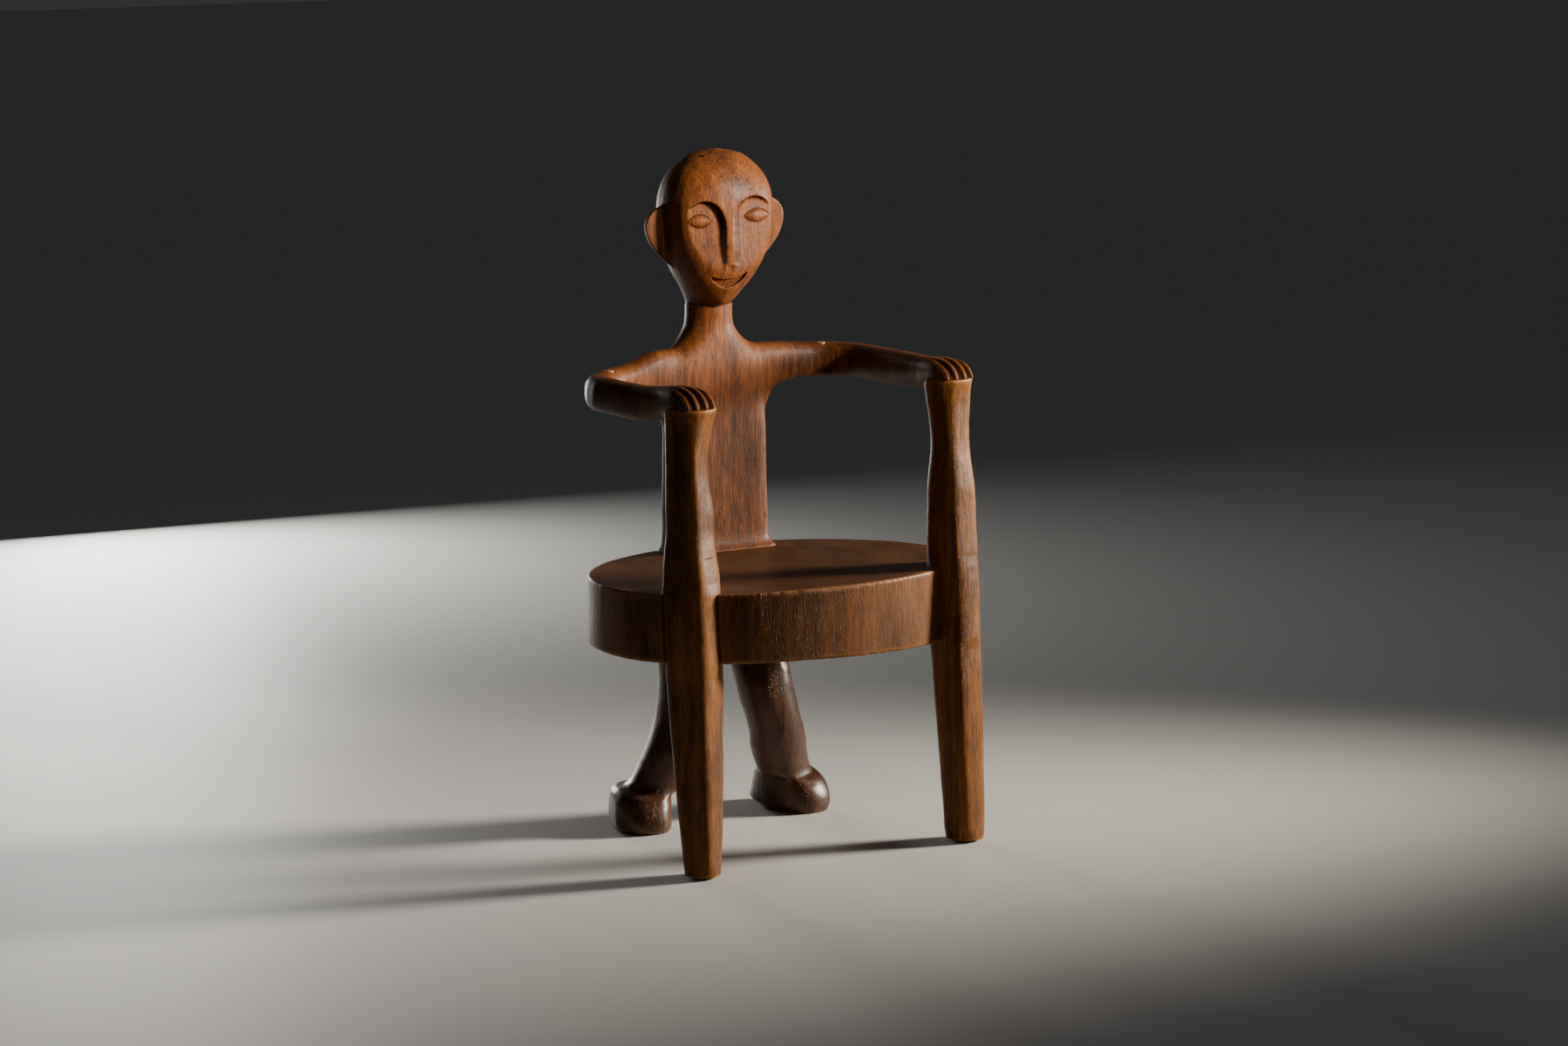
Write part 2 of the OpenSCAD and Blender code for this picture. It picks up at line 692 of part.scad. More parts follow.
// Two dowels, one above the other, run from each post inward and back into the seat
post_dowel_turn = 35;
post_dowel_start = -12;
post_dowel_levels = [0.3, 0.7];
module post_dowel_pair(side, grow, longer) {
    on_side(side)
        for (level = post_dowel_levels)
            translate([post_x, -post_y, seat_h - level * min(seat_t_left, seat_t_right)])
                rotate([0, 0, 180 - post_dowel_turn])
                    rotate([0, 90, 0])
                        translate([0, 0, post_dowel_start - longer])
                            cylinder(d = post_dowel_d + 2 * grow, h = post_dowel_l + 2 * longer);
}

// Pins run forward from the back of the rim, a little below its surface
pin_sink = 1;
back_pin_x = back_tenon_w / 4;
back_pin_l = 66;
leg_pin_l = 78;
function rim_back(x) = -seat_wide_line
    + (seat_back + seat_wide_line) * (1 - (x / seat_half_w) ^ seat_back_fullness) ^ (1 / seat_back_fullness);

module pin_body(x, z, l, grow, longer) {
    translate([x, rim_back(abs(x)) - pin_sink + 5 * longer, z])
        rotate([90, 0, 0])
            cylinder(d = pin_d + 2 * grow, h = l + 6 * longer);
}

module back_pin_bodies(grow, longer) {
    for (x = [-back_pin_x, back_pin_x])
        pin_body(x, seat_h - back_tenon_l / 2, back_pin_l, grow, longer);
}

module leg_pin_body(side, grow, longer) {
    on_side(side)
        pin_body(leg_top_x, seat_under + leg_tenon_l / 2, leg_pin_l, grow, longer);
}

seat();
torso();
head();
arm(RIGHT);  // arm_right
arm(LEFT);  // arm_left
front_post(RIGHT);  // front_post_right
front_post(LEFT);  // front_post_left
hind_leg(RIGHT);  // hind_leg_right
hind_leg(LEFT);  // hind_leg_left
placed(wood_dowel) neck_dowel_body(0, 0);  // neck_dowel
elbow_dowel(RIGHT);  // elbow_dowel_right
elbow_dowel(LEFT);  // elbow_dowel_left
placed(wood_dowel) elbow_peg_body(RIGHT, 0, 0);  // elbow_peg_right
placed(wood_dowel) elbow_peg_body(LEFT, 0, 0);  // elbow_peg_left
placed(wood_dowel) hand_dowel_body(RIGHT, 0, 0);  // hand_dowel_right
placed(wood_dowel) hand_dowel_body(LEFT, 0, 0);  // hand_dowel_left
placed(wood_dowel) post_dowel_pair(RIGHT, 0, 0);  // post_dowels_right
placed(wood_dowel) post_dowel_pair(LEFT, 0, 0);  // post_dowels_left
placed(wood_dowel) back_pin_bodies(0, 0);  // back_pins
placed(wood_dowel) leg_pin_body(RIGHT, 0, 0);  // leg_pin_right
placed(wood_dowel) leg_pin_body(LEFT, 0, 0);  // leg_pin_left
glide(RIGHT);  // glide_right
glide(LEFT);  // glide_left
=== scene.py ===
# %% [markdown]
# # A carved armchair in the shape of a seated figure
# The real chair is cut by hand from dark red-brown hardwood. Its back is a body with shoulders,
# neck and head. Its arms reach forward, and four-fingered hands hold the tops of two honey-brown
# posts. Two legs with blocky feet carry the back of a thick oval seat.
# In this lesson each carved piece starts as a copy of its plain solid, the way a carver starts
# from a sawn blank. The copy gets a fine skin, is sanded, and is then cut with shaped tools.

import json
import math

import bpy
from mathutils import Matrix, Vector
from mathutils.bvhtree import BVHTree


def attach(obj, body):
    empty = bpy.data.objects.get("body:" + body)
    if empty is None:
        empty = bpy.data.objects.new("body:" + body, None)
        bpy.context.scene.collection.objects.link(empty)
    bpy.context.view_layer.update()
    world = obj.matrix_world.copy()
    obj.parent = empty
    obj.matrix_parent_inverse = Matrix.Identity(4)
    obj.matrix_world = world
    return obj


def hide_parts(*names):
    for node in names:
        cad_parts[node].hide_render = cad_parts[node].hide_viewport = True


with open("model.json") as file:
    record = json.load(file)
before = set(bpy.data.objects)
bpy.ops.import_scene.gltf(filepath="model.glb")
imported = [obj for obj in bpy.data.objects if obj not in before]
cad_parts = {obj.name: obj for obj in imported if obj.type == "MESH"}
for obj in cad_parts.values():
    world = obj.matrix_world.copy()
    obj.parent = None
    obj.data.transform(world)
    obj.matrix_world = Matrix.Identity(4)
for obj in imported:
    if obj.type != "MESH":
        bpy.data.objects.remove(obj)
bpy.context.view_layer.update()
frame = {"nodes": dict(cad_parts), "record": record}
solids = frame["nodes"]
MM = 0.001

# %% [markdown]
# ## The camera
# The photograph was taken with a long lens from a little above the arms, and from the side of the
# figure's right hand. A long lens keeps upright lines nearly parallel. The numbers below come from
# matching the plain solids to the photograph, so they are set at once and not changed again.

# %% Camera
CAMERA_PLACE = (-3.6029, -5.9509, 1.6131)
CAMERA_TILT = math.radians(80.602)
CAMERA_TURN = math.radians(-31.434)
bpy.ops.object.select_all(action="DESELECT")
bpy.ops.object.camera_add(location=CAMERA_PLACE, rotation=(CAMERA_TILT, 0, CAMERA_TURN))
camera = bpy.context.object
camera.name = "photo_camera"
camera.data.sensor_width = 36
camera.data.lens = 110.62
bpy.context.scene.camera = camera
to_right = Vector((math.cos(CAMERA_TURN), math.sin(CAMERA_TURN), 0))
to_back = Vector((-math.sin(CAMERA_TURN), math.cos(CAMERA_TURN), 0))
print("camera to the chair:", round((camera.location - Vector((0, 0, 0.5))).length, 2), "m")

# %% [markdown]
# ## Floor and light
# Waxed wood shows its form by long soft highlights. The key light stands in front and to the
# right, with a narrow beam that keeps to the head and chest. A side light stands far to the
# right, so the left half of each post falls into shade, as on the real chair. A weak light in
# front reaches under the brow, and one behind the chair shows its back and draws its edges. A
# fill light, a top light and a dim sky keep the shade readable. The floor lies a hair under the
# soles, so that the two don't share a plane.

# %% Floor and lights
FLOOR_GAP = 0.0004
bpy.ops.mesh.primitive_plane_add(size=40, location=(0, 0, -FLOOR_GAP))
floor = bpy.context.object
floor.name = "studio_floor"


def soft_light(name, right, back, up, size, power, warmth, aim=0.6, beam=180):
    """An area light placed as the camera sees it, aimed at this height over the chair's middle."""
    place = to_right * right + to_back * back + Vector((0, 0, up))
    bpy.ops.object.light_add(type="AREA", location=place)
    light = bpy.context.object
    light.name = name
    light.data.shape = "DISK"
    light.data.size = size
    light.data.energy = power
    light.data.color = warmth
    light.data.spread = math.radians(beam)
    light.rotation_euler = (Vector((0, 0, aim)) - place).to_track_quat("-Z", "Y").to_euler()
    return light


soft_light("key_light", 2.0, -1.2, 1.7, 0.5, 4.9, (1.0, 0.94, 0.85), 1.00, 23)
soft_light("side_light", 2.75, 0.8, 1.1, 0.6, 19, (1.0, 0.91, 0.78), 0.46, 44)
soft_light("face_light", 1.5, -2.0, 1.0, 0.35, 0.07, (1.0, 0.90, 0.72), 0.93, 14)
back_light = soft_light("back_light", -1.4, 2.65, 0.55, 0.9, 42, (1.0, 0.96, 0.90), 0.50)
back_light.visible_camera = False
soft_light("fill_light", -2.4, -2.4, 1.6, 2.0, 0.5, (0.92, 0.96, 1.0))
soft_light("top_light", 0.3, 0.8, 2.8, 1.2, 1.7, (1.0, 1.0, 1.0))
sky = bpy.data.worlds.new("studio_sky")
bpy.context.scene.world = sky
sky.use_nodes = True
glow = sky.node_tree.nodes["Background"]
glow.inputs["Color"].default_value = (0.80, 0.82, 0.85, 1)
glow.inputs["Strength"].default_value = 0.045

# %% [markdown]
# ## Picking up and putting down
# Blender's operators act on all that is selected. These helpers make sure that only the wanted
# piece is. A blank is a copy of a plain solid, with its loose triangles merged into one skin.


# %% Helpers for picking and for blanks
def pick(*pieces):
    """Select only these pieces, the first one active."""
    bpy.ops.object.select_all(action="DESELECT")
    for piece in pieces:
        piece.select_set(True)
    bpy.context.view_layer.objects.active = pieces[0]


def apply_all(piece):
    """Apply the piece's modifiers, first to last, and drop the groups that limited them."""
    pick(piece)
    for modifier in list(piece.modifiers):
        bpy.ops.object.modifier_apply(modifier=modifier.name)
    piece.vertex_groups.clear()


def blank(node, name):
    """A copy of a plain solid under a new name, its triangles merged, ready for carving."""
    pick(solids[node])
    bpy.ops.object.duplicate()
    copy = bpy.context.object
    copy.name = name
    copy.parent = None
    for key in list(copy.keys()):
        del copy[key]
    copy.data.materials.clear()
    bpy.ops.object.mode_set(mode="EDIT")
    bpy.ops.mesh.select_all(action="SELECT")
    bpy.ops.mesh.remove_doubles(threshold=0.02 * MM)
    bpy.ops.object.mode_set(mode="OBJECT")
    return copy


# %% [markdown]
# ## Skin and sandpaper
# The Remesh modifier gives a blank an even skin of small squares, so its flat facets can be
# smoothed and fine cuts hold. The Smooth modifier is the sandpaper. It works only where a vertex
# group lets it, so the faces that meet another piece stay true.


# %% Helpers for skin and sandpaper
def unit(value):
    """The value, held between 0 and 1."""
    return min(1, max(0, value))


def fine_skin(piece, square):
    """An even skin of squares of this size, in metres."""
    skin = piece.modifiers.new("fine skin", "REMESH")
    skin.mode = "VOXEL"
    skin.voxel_size = square
    skin.use_smooth_shade = True
    apply_all(piece)


def limit_to(piece, modifier, free):
    """Let the modifier work as far as free(point) says: 0 is not at all and 1 is fully."""
    group = piece.vertex_groups.new(name="free")
    for vertex in piece.data.vertices:
        share = unit(free(vertex.co))
        if share > 0:
            group.add([vertex.index], share, "REPLACE")
    modifier.vertex_group = group.name


def sand(piece, strokes, free=None):
    """Smooth the piece, all over or as far as free(point) says."""
    paper = piece.modifiers.new("sandpaper", "SMOOTH")
    paper.factor = 0.5
    paper.iterations = strokes
    if free:
        limit_to(piece, paper, free)
    apply_all(piece)


# %% [markdown]
# ## Marks of the blade
# A surface cut by hand is never quite even. The Displace modifier presses a texture into a piece.
# Soft clouds give the slow swells of a hand-held blade, and round cells give shallow scoops side
# by side, each one stroke of a gouge wide.


# %% Helpers for tool marks
def press(piece, name, pattern, size, depth, free):
    """A modifier that presses a pattern of this size into the piece, not yet applied."""
    stamp = piece.modifiers.new(name, "DISPLACE")
    stamp.texture = bpy.data.textures.new(name, pattern)
    stamp.texture.noise_scale = size
    stamp.texture_coords = "LOCAL"
    stamp.strength = depth
    limit_to(piece, stamp, free)
    return stamp


def uneven(piece, reach, depth, free):
    """Press soft hollows and swells into the piece."""
    press(piece, "blade marks", "CLOUDS", reach, depth, free)
    apply_all(piece)


def facets(piece, size, depth, free):
    """Press shallow scoops side by side into the piece."""
    stamp = press(piece, "gouge strokes", "VORONOI", size, depth, free)
    stamp.texture.distance_metric = "DISTANCE_SQUARED"
    stamp.mid_level = 0.35
    apply_all(piece)


# %% [markdown]
# ## Waste, saw and knife
# Sanding rounds the edge of a joint's face, but the face has to stay flat right to its edge. So an
# end is first drawn out by a waste length, and the waste is sawn off when the sanding is done. The
# Boolean modifier is the knife: it cuts a tool's own shape out of a piece.


# %% Helpers for cutting
def longer(piece, level, by):
    """Draw the level end face at this height out by a waste length, sawn off again later."""
    pick(piece)
    for face in piece.data.polygons:
        face.select = abs(face.normal.z) > 0.99 and abs(face.center.z - level) < 0.05 * MM
    for edge in piece.data.edges:
        edge.select = False
    for vertex in piece.data.vertices:
        vertex.select = False
    bpy.ops.object.mode_set(mode="EDIT")
    bpy.ops.mesh.select_mode(type="FACE")
    bpy.ops.mesh.extrude_region_move(TRANSFORM_OT_translate={"value": (0, 0, by)})
    bpy.ops.mesh.select_mode(type="VERT")
    bpy.ops.object.mode_set(mode="OBJECT")


def saw(piece, point, outward):
    """Saw the piece through at this point and drop the outer side."""
    pick(piece)
    bpy.ops.object.mode_set(mode="EDIT")
    bpy.ops.mesh.select_all(action="SELECT")
    bpy.ops.mesh.bisect(plane_co=point, plane_no=outward, use_fill=True, clear_outer=True)
    bpy.ops.object.mode_set(mode="OBJECT")


def carve(piece, *tools, way="DIFFERENCE"):
    """Cut the tools out of the piece, or join them to it, and put them away."""
    for tool in tools:
        cut = piece.modifiers.new("knife", "BOOLEAN")
        cut.operation = way
        cut.object = tool
        cut.solver = "MANIFOLD"
        apply_all(piece)
        bpy.data.objects.remove(tool)


def lighten(piece, most):
    """Thin the skin where it is flat, so the piece keeps under this many triangles."""
    triangles = sum(len(face.vertices) - 2 for face in piece.data.polygons)
    if triangles > most:
        thin = piece.modifiers.new("thin", "DECIMATE")
        thin.ratio = most / triangles
        apply_all(piece)


# %% [markdown]
# ## Relief, and a finished piece
# Hands rub the high edges of old wood light, and its cuts get painted shade. So each point of a piece
# notes how far it stands out of a copy that is sanded well, and the materials read that later. A
# finished piece then names its body and the plain solid that it stands for.


# %% Helpers for finishing
def mark_relief(piece):
    """Note on each point how far it stands out of a well sanded copy, in millimetres."""
    pick(piece)
    bpy.ops.object.duplicate()
    worn = bpy.context.object
    sand(worn, 14)
    relief = piece.data.attributes.new("relief", "FLOAT", "POINT")
    for vertex, soft, value in zip(piece.data.vertices, worn.data.vertices, relief.data):
        value.value = (vertex.co - soft.co).dot(vertex.normal) / MM
    bpy.data.objects.remove(worn)


def finish_piece(piece, slot, *replaced):
    """Soft shading, body and the plain solids that it stands for. The slot is not used."""
    mark_relief(piece)
    pick(piece)
    bpy.ops.object.shade_smooth_by_angle(angle=math.radians(50))
    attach(piece, "root")
    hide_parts(*replaced)
    low = [round(min(v.co[i] for v in piece.data.vertices), 4) for i in range(3)]
    high = [round(max(v.co[i] for v in piece.data.vertices), 4) for i in range(3)]
    triangles = sum(len(face.vertices) - 2 for face in piece.data.polygons)
    print(piece.name, triangles, "triangles, from", low, "to", high)


# %% [markdown]
# ## The front posts
# Each post is one stick, a little square in section with its corner to the front, fat at the seat
# and slim at the foot. It is shaved by hand, so no line on it is quite straight. Its top is cut
# level under the fingers and slopes down behind them, and that cut must stay true.

# %% Front posts
SIDES = {"right": -1, "left": 1}
SEAM_TOP = {"right": 0.667, "left": 0.680}
SEAM_LEVEL_END = -0.15064
SEAM_BACK = -0.12424
SEAM_DROP = 0.022
POST_X = 0.217


def seam_height(side, y):
    """Height of the joint between hand and post."""
    share = unit((y - SEAM_LEVEL_END) / (SEAM_BACK - SEAM_LEVEL_END))
    return SEAM_TOP[side] - SEAM_DROP * share


def post_free(side):
    """Free below the seam and above the foot."""

    def free(p):
        return min(0.45 + (seam_height(side, p.y) - p.z) / 0.012, (p.z - 0.003) / 0.004)

    return free


print("posts meet the hands at", SEAM_TOP)

# %% [markdown]
# ## A squarer section and a waist
# The plain post is rounder in section than the real one. So each point is moved out from the
# post's middle or in to it, until the section is a square with soft corners, one of them turned to
# the front. Under the hand the post is also drawn in at one side or both, as the camera sees it.
# The square fades out at the seam and at the foot, and is weaker where the seat holds the post.

# %% Square and slim a post
ARRIS_TURN = {"right": 16, "left": 31}
PLAIN_FULLNESS = 2.6
PLANED_FULLNESS = 3.8
PLANED_SIZE = 0.925
HOUSED_LOW = 0.285
HOUSED_HIGH = 0.42
HOUSED_FADE = 0.015
SLICE = 0.012
WAIST = {"right": (0.28, 0.0), "left": (0.12, 0.14)}
WAIST_Z = 0.590
WAIST_REACH = 0.085


def roundness(angle, fullness):
    """Distance from the middle to the edge of a rounded square, whose half width is 1."""
    return (abs(math.cos(angle)) ** fullness + abs(math.sin(angle)) ** fullness) ** (-1 / fullness)


def slice_middles(post):
    """The middle of each thin level slice of the post."""
    slices = {}
    for vertex in post.data.vertices:
        slices.setdefault(int(vertex.co.z / SLICE), []).append(vertex.co)
    middles = {}
    for level, ring in slices.items():
        xs, ys = [p.x for p in ring], [p.y for p in ring]
        middles[level] = ((min(xs) + max(xs)) / 2, (min(ys) + max(ys)) / 2)
    return middles


def middle_at(middles, z):
    """The post's middle at this height, on a straight line from slice to slice."""
    at = z / SLICE - 0.5
    low = int(math.floor(at))
    a = middles.get(low, middles[min(middles)])
    b = middles.get(low + 1, middles[max(middles)])
    return a[0] + (b[0] - a[0]) * (at - low), a[1] + (b[1] - a[1]) * (at - low)


def squared(p, x, y, side):
    """How far a point is from the post's middle in the planed section, as a share of now."""
    below_seam = max(0, (seam_height(side, p.y) - 0.006 - p.z) / 0.03)
    above_foot = max(0, (p.z - 0.004) / 0.02)
    share = min(1, below_seam, above_foot)
    if HOUSED_LOW < p.z < HOUSED_HIGH:
        inside = min(1, (p.z - HOUSED_LOW) / HOUSED_FADE, (HOUSED_HIGH - p.z) / HOUSED_FADE)
        share *= 1 - 0.65 * inside
    corner = math.radians(-90 - ARRIS_TURN[side])
    angle = math.atan2(p.y - y, p.x - x) - corner + math.radians(45)
    flatter = PLANED_SIZE * roundness(angle, PLANED_FULLNESS) / roundness(angle, PLAIN_FULLNESS)
    return 1 + (flatter - 1) * share


def shape_post(post, side):
    """Plane the post's four faces flatter, and draw it in at the waist."""
    middles = slice_middles(post)
    for vertex in post.data.vertices:
        p = vertex.co
        x, y = middle_at(middles, p.z)
        grow = squared(p, x, y, side)
        p.x, p.y = x + (p.x - x) * grow, y + (p.y - y) * grow
        if abs(p.z - WAIST_Z) < WAIST_REACH:
            slim = (1 + math.cos(math.pi * (p.z - WAIST_Z) / WAIST_REACH)) / 2
            aside = (p.x - x) * to_right.x + (p.y - y) * to_right.y
            slim *= -aside * WAIST[side][0 if aside > 0 else 1]
            p.x, p.y = p.x + slim * to_right.x, p.y + slim * to_right.y


# %% Carve the posts
for side in SIDES:
    post = blank("front_post_" + side, "carved_post_" + side)
    fine_skin(post, 1.8 * MM)
    sand(post, 8, post_free(side))
    shape_post(post, side)
    uneven(post, 0.06, 2.4 * MM, post_free(side))
    lighten(post, 110000)
    finish_piece(post, "post_wood", "front_post_" + side)

# %% [markdown]
# ## The seat
# The seat is a slab, 100 mm thick, sawn across a trunk. Its rim keeps a crisp edge that hands have
# only just rounded. Its plain solid has the right shape, so the copy is only sanded lightly, which
# takes the sharpness off its edges, and marked by the blade and the gouge.

# %% Seat
seat = blank("seat", "thick_seat")
fine_skin(seat, 2.8 * MM)
sand(seat, 3)
uneven(seat, 0.07, 1.2 * MM, lambda p: 0.5)
facets(seat, 0.05, 1.0 * MM, lambda p: 0.6)
lighten(seat, 170000)
finish_piece(seat, "seat_wood", "seat")

# %% [markdown]
# ## The hind legs
# Each leg bends at the knee and ends in a chunky foot without toes. A sharp crease runs over the
# instep. The joint under the seat and the sole stay true, and the crease is sanded only lightly.

# %% Hind legs
CREASE = 0.062


def leg_free(p):
    """Free between sole and seat, and less free at the instep's crease."""
    near_crease = 0.25 + 0.75 * min(1, abs(p.z - CREASE) / 0.012)
    return min((p.z - 0.001) / 0.008, (0.29 - p.z) / 0.01) * near_crease


print("the crease over the instep is", CREASE, "m above the floor")

# %% [markdown]
# ## The feet
# The plain foot is a block. Its top is sloped down towards the toes, least near the sole, which
# stays flat. Then the crease is pinched in, on the front half of the foot only.

# %% Shape a foot
TOE_LENGTH = 0.075
TOE_DROP = 0.011
SOLE_TRUE = 0.012
PINCH_DEPTH = 0.0022
PINCH_REACH = 0.007


def shape_foot(leg):
    """Slope the top of the toes down to the front, and pinch the crease over the instep."""
    low = [v.co for v in leg.data.vertices if v.co.z < CREASE]
    front, back = min(p.y for p in low), max(p.y for p in low)
    for vertex in leg.data.vertices:
        p = vertex.co
        ahead = unit((front + TOE_LENGTH - p.y) / TOE_LENGTH)
        if p.z < CREASE + 0.004:
            p.z -= TOE_DROP * ahead ** 1.3 * unit((p.z - SOLE_TRUE) / 0.04)
        pinch = max(0, 1 - abs(p.z - CREASE - 0.003) / PINCH_REACH)
        if p.y < (front + back) / 2:
            p.y += PINCH_DEPTH * pinch


# %% Carve the legs
for side in SIDES:
    leg = blank("hind_leg_" + side, "carved_leg_" + side)
    fine_skin(leg, 1.9 * MM)
    shape_foot(leg)
    sand(leg, 12, leg_free)
    facets(leg, 0.055, 3.4 * MM, leg_free)
    sand(leg, 6, leg_free)
    uneven(leg, 0.05, 1.2 * MM, leg_free)
    lighten(leg, 120000)
    finish_piece(leg, "leg_wood", "hind_leg_" + side)

# %% [markdown]
# ## Body and arms, sanded as one
# The arms are joined to the shoulders before they are smoothed, so the surface runs through the
# joint. The three blanks are made one, sanded, and then cut apart again at the mitre of each
# elbow, a plumb cut at 45 degrees.

# %% Body and arms in one
MITRE = 0.079
NECK_TOP = 0.770
SEAT_TOP = 0.404
PALM_Y = -0.095


def body_free(p):
    """Free apart from the neck's top, the base on the seat and the seams over the posts."""
    share = min((NECK_TOP - p.z) / 0.008, (p.z - SEAT_TOP - 0.002) / 0.010)
    if p.y < PALM_Y:
        side = "right" if p.x < 0 else "left"
        share = min(share, (p.z - seam_height(side, p.y) - 0.002) / 0.008)
    return share


WASTE = 0.008
body = blank("torso", "carved_body")
longer(body, NECK_TOP, WASTE)
arms = [blank("arm_" + side, "blank_arm_" + side) for side in SIDES]
pick(body, *arms)
bpy.ops.object.join()
fine_skin(body, 1.9 * MM)
sand(body, 14, body_free)


def shoulder_free(p):
    """Free where each arm leaves the shoulder."""
    across = unit((abs(p.x) - 0.035) / 0.02) * unit((0.170 - abs(p.x)) / 0.03)
    return across * unit((p.z - 0.600) / 0.03)


sand(body, 70, shoulder_free)
uneven(body, 0.06, 1.6 * MM, body_free)
print("body and arms in one:", len(body.data.vertices), "points")


# %% Part the body from the arms
def part_off(piece, name, cuts):
    """A copy of the piece that keeps only what lies on the inner side of each plumb cut."""
    pick(piece)
    bpy.ops.object.duplicate()
    part = bpy.context.object
    part.name = name
    for point, outward in cuts:
        saw(part, point, outward)
    return part


def mitre_cut(sign, inward, waste=0.0):
    """Point and normal of an elbow's mitre: x across the chair, y to the back."""
    normal = Vector((sign, -1, 0)).normalized()
    return Vector((sign * MITRE, 0, 0.7)) - normal * waste, (-normal if inward else normal)


neck_cut = (Vector((0, 0, NECK_TOP)), Vector((0, 0, 1)))
torso = part_off(body, "carved_torso", [mitre_cut(1, False), mitre_cut(-1, False), neck_cut])
finish_piece(torso, "red_wood", "torso")

# %% [markdown]
# ## The hands
# Four fingers lie side by side over each post. They are parted by three deep grooves, which start
# shallow on the back of the hand, run over the knuckles and end at the seam. The tool for one
# groove is a thin tube that follows the hand's own surface, found by looking at it from outside.


# %% Helpers for grooves
def closed(weld=0.0):
    """The active tool, its points closer than this merged and its faces turned outwards."""
    bpy.ops.object.mode_set(mode="EDIT")
    bpy.ops.mesh.select_all(action="SELECT")
    if weld:
        bpy.ops.mesh.remove_doubles(threshold=weld)
    bpy.ops.mesh.normals_make_consistent(inside=False)
    bpy.ops.object.mode_set(mode="OBJECT")
    return bpy.context.object


def tube(name, points, radii):
    """A closed tube along these points, its radius given at each one."""
    bpy.ops.curve.primitive_nurbs_path_add()
    path = bpy.context.object
    path.name = name
    path.data.splines.clear()
    line = path.data.splines.new("POLY")
    line.points.add(len(points) - 1)
    for spot, point, radius in zip(line.points, points, radii):
        spot.co = (*point, 1)
        spot.radius = radius
    path.location = (0, 0, 0)
    path.data.dimensions = "3D"
    path.data.bevel_depth = 1
    path.data.bevel_resolution = 2
    path.data.use_fill_caps = True
    pick(path)
    bpy.ops.object.convert(target="MESH")
    return closed(weld=0.01 * MM)


def surface_of(piece):
    """A search tree over the piece's faces, for finding where its surface is."""
    return BVHTree.FromObject(piece, bpy.context.evaluated_depsgraph_get())


FINGER_PITCH = 0.0148
GROOVES = (-1, 0, 1)
GROOVE_STEPS = 17
ON_THE_BACK = 146
AT_THE_TIPS = -12


def groove_line(skin, x, height):
    """Points on the hand's surface in the upright plane at x, from its back over the tips."""
    middle = Vector((x, -0.150, height + 0.010))
    found = []
    for step in range(GROOVE_STEPS):
        angle = math.radians(ON_THE_BACK + (AT_THE_TIPS - ON_THE_BACK) * step / (GROOVE_STEPS - 1))
        way = Vector((0, -math.cos(angle), math.sin(angle)))
        hit, normal, _, _ = skin.ray_cast(middle + way * 0.12, -way)
        if hit:
            found.append((hit, normal))
    return found


# %% Carve the arms and hands
for side, sign in SIDES.items():
    arm = part_off(body, "carved_arm_" + side, [mitre_cut(sign, True, WASTE)])
    skin = surface_of(arm)
    height = SEAM_TOP[side]
    tools = []
    for groove in GROOVES:
        x = sign * POST_X + groove * FINGER_PITCH
        line = groove_line(skin, x, height)
        count = len(line)
        deep = [min(1, 0.10 + 1.6 * i / (count - 1)) for i in range(count)]
        narrow = [hit - normal * (4.6 * d - 1.6) * MM for (hit, normal), d in zip(line, deep)]
        wide = [hit + normal * (3.4 - 1.6 * d) * MM for (hit, normal), d in zip(line, deep)]
        tools.append(tube("narrow gouge", narrow, [(1.2 + 1.9 * d) * MM for d in deep]))
        tools.append(tube("wide gouge", wide, [(3.2 + 2.6 * d) * MM for d in deep]))
    carve(arm, *tools)
    fine_skin(arm, 1.1 * MM)
    sand(arm, 3, lambda p: min(1, (-0.04 - p.y) / 0.02) * (0.3 + 0.7 * min(1, body_free(p))))
    lighten(arm, 150000)
    saw(arm, *mitre_cut(sign, True))
    finish_piece(arm, "red_wood", "arm_" + side)
bpy.data.objects.remove(body)

# %% [markdown]
# ## The head
# The head is an egg with its point at the chin. The face is cut in the old way of such figures:
# the forehead runs on into a thin nose, two hollows are cut down beside it from a brow like a bow,
# and almond eyes are left standing in them. The mouth is a sickle cut square into the jaw.
# The figure looks a little to one side, so places on the face are given in the head's own frame:
# millimetres to its left, to its back and up from the chin.

# %% Head blank
HEAD_TURN = math.radians(7)
NECK_Y = 0.15776
EAR_START = 70


def on_head(x, y, up):
    """A place in the head's own millimetres, in the room's metres."""
    c, s = math.cos(HEAD_TURN), math.sin(HEAD_TURN)
    return Vector(((c * x + s * y) * MM, (-s * x + c * y) * MM + NECK_Y, NECK_TOP + up * MM))


def from_head(p):
    """The reverse: the head's own millimetres of a place in the room."""
    c, s = math.cos(HEAD_TURN), math.sin(HEAD_TURN)
    x, y = p.x / MM, (p.y - NECK_Y) / MM
    return Vector((c * x - s * y, s * x + c * y, (p.z - NECK_TOP) / MM))


def head_free(p):
    """Free apart from the chin's joint, and less free on the thin ears."""
    place = from_head(p)
    ear = (abs(place.x) - EAR_START + max(0, 60 - place.z) * 0.3) / 14
    near_ear = 1 - 0.85 * unit(ear) if 45 < place.z < 165 else 1
    return min(1, (place.z - 0.5) / 6) * near_ear


head = blank("head", "carved_head")
longer(head, NECK_TOP, -WASTE)
fine_skin(head, 1.3 * MM)
sand(head, 18, head_free)
uneven(head, 0.05, 1.0 * MM, head_free)
head_skin = surface_of(head)


def face_depth(x, up):
    """How far back the face's surface lies at this place, in the head's millimetres."""
    start, end = on_head(x, -200, up), on_head(x, 0, up)
    hit, _, _, _ = head_skin.ray_cast(start, (end - start).normalized())
    return from_head(hit).y


print("face at the brow:", round(face_depth(0, 160), 1), "mm from the neck's middle")

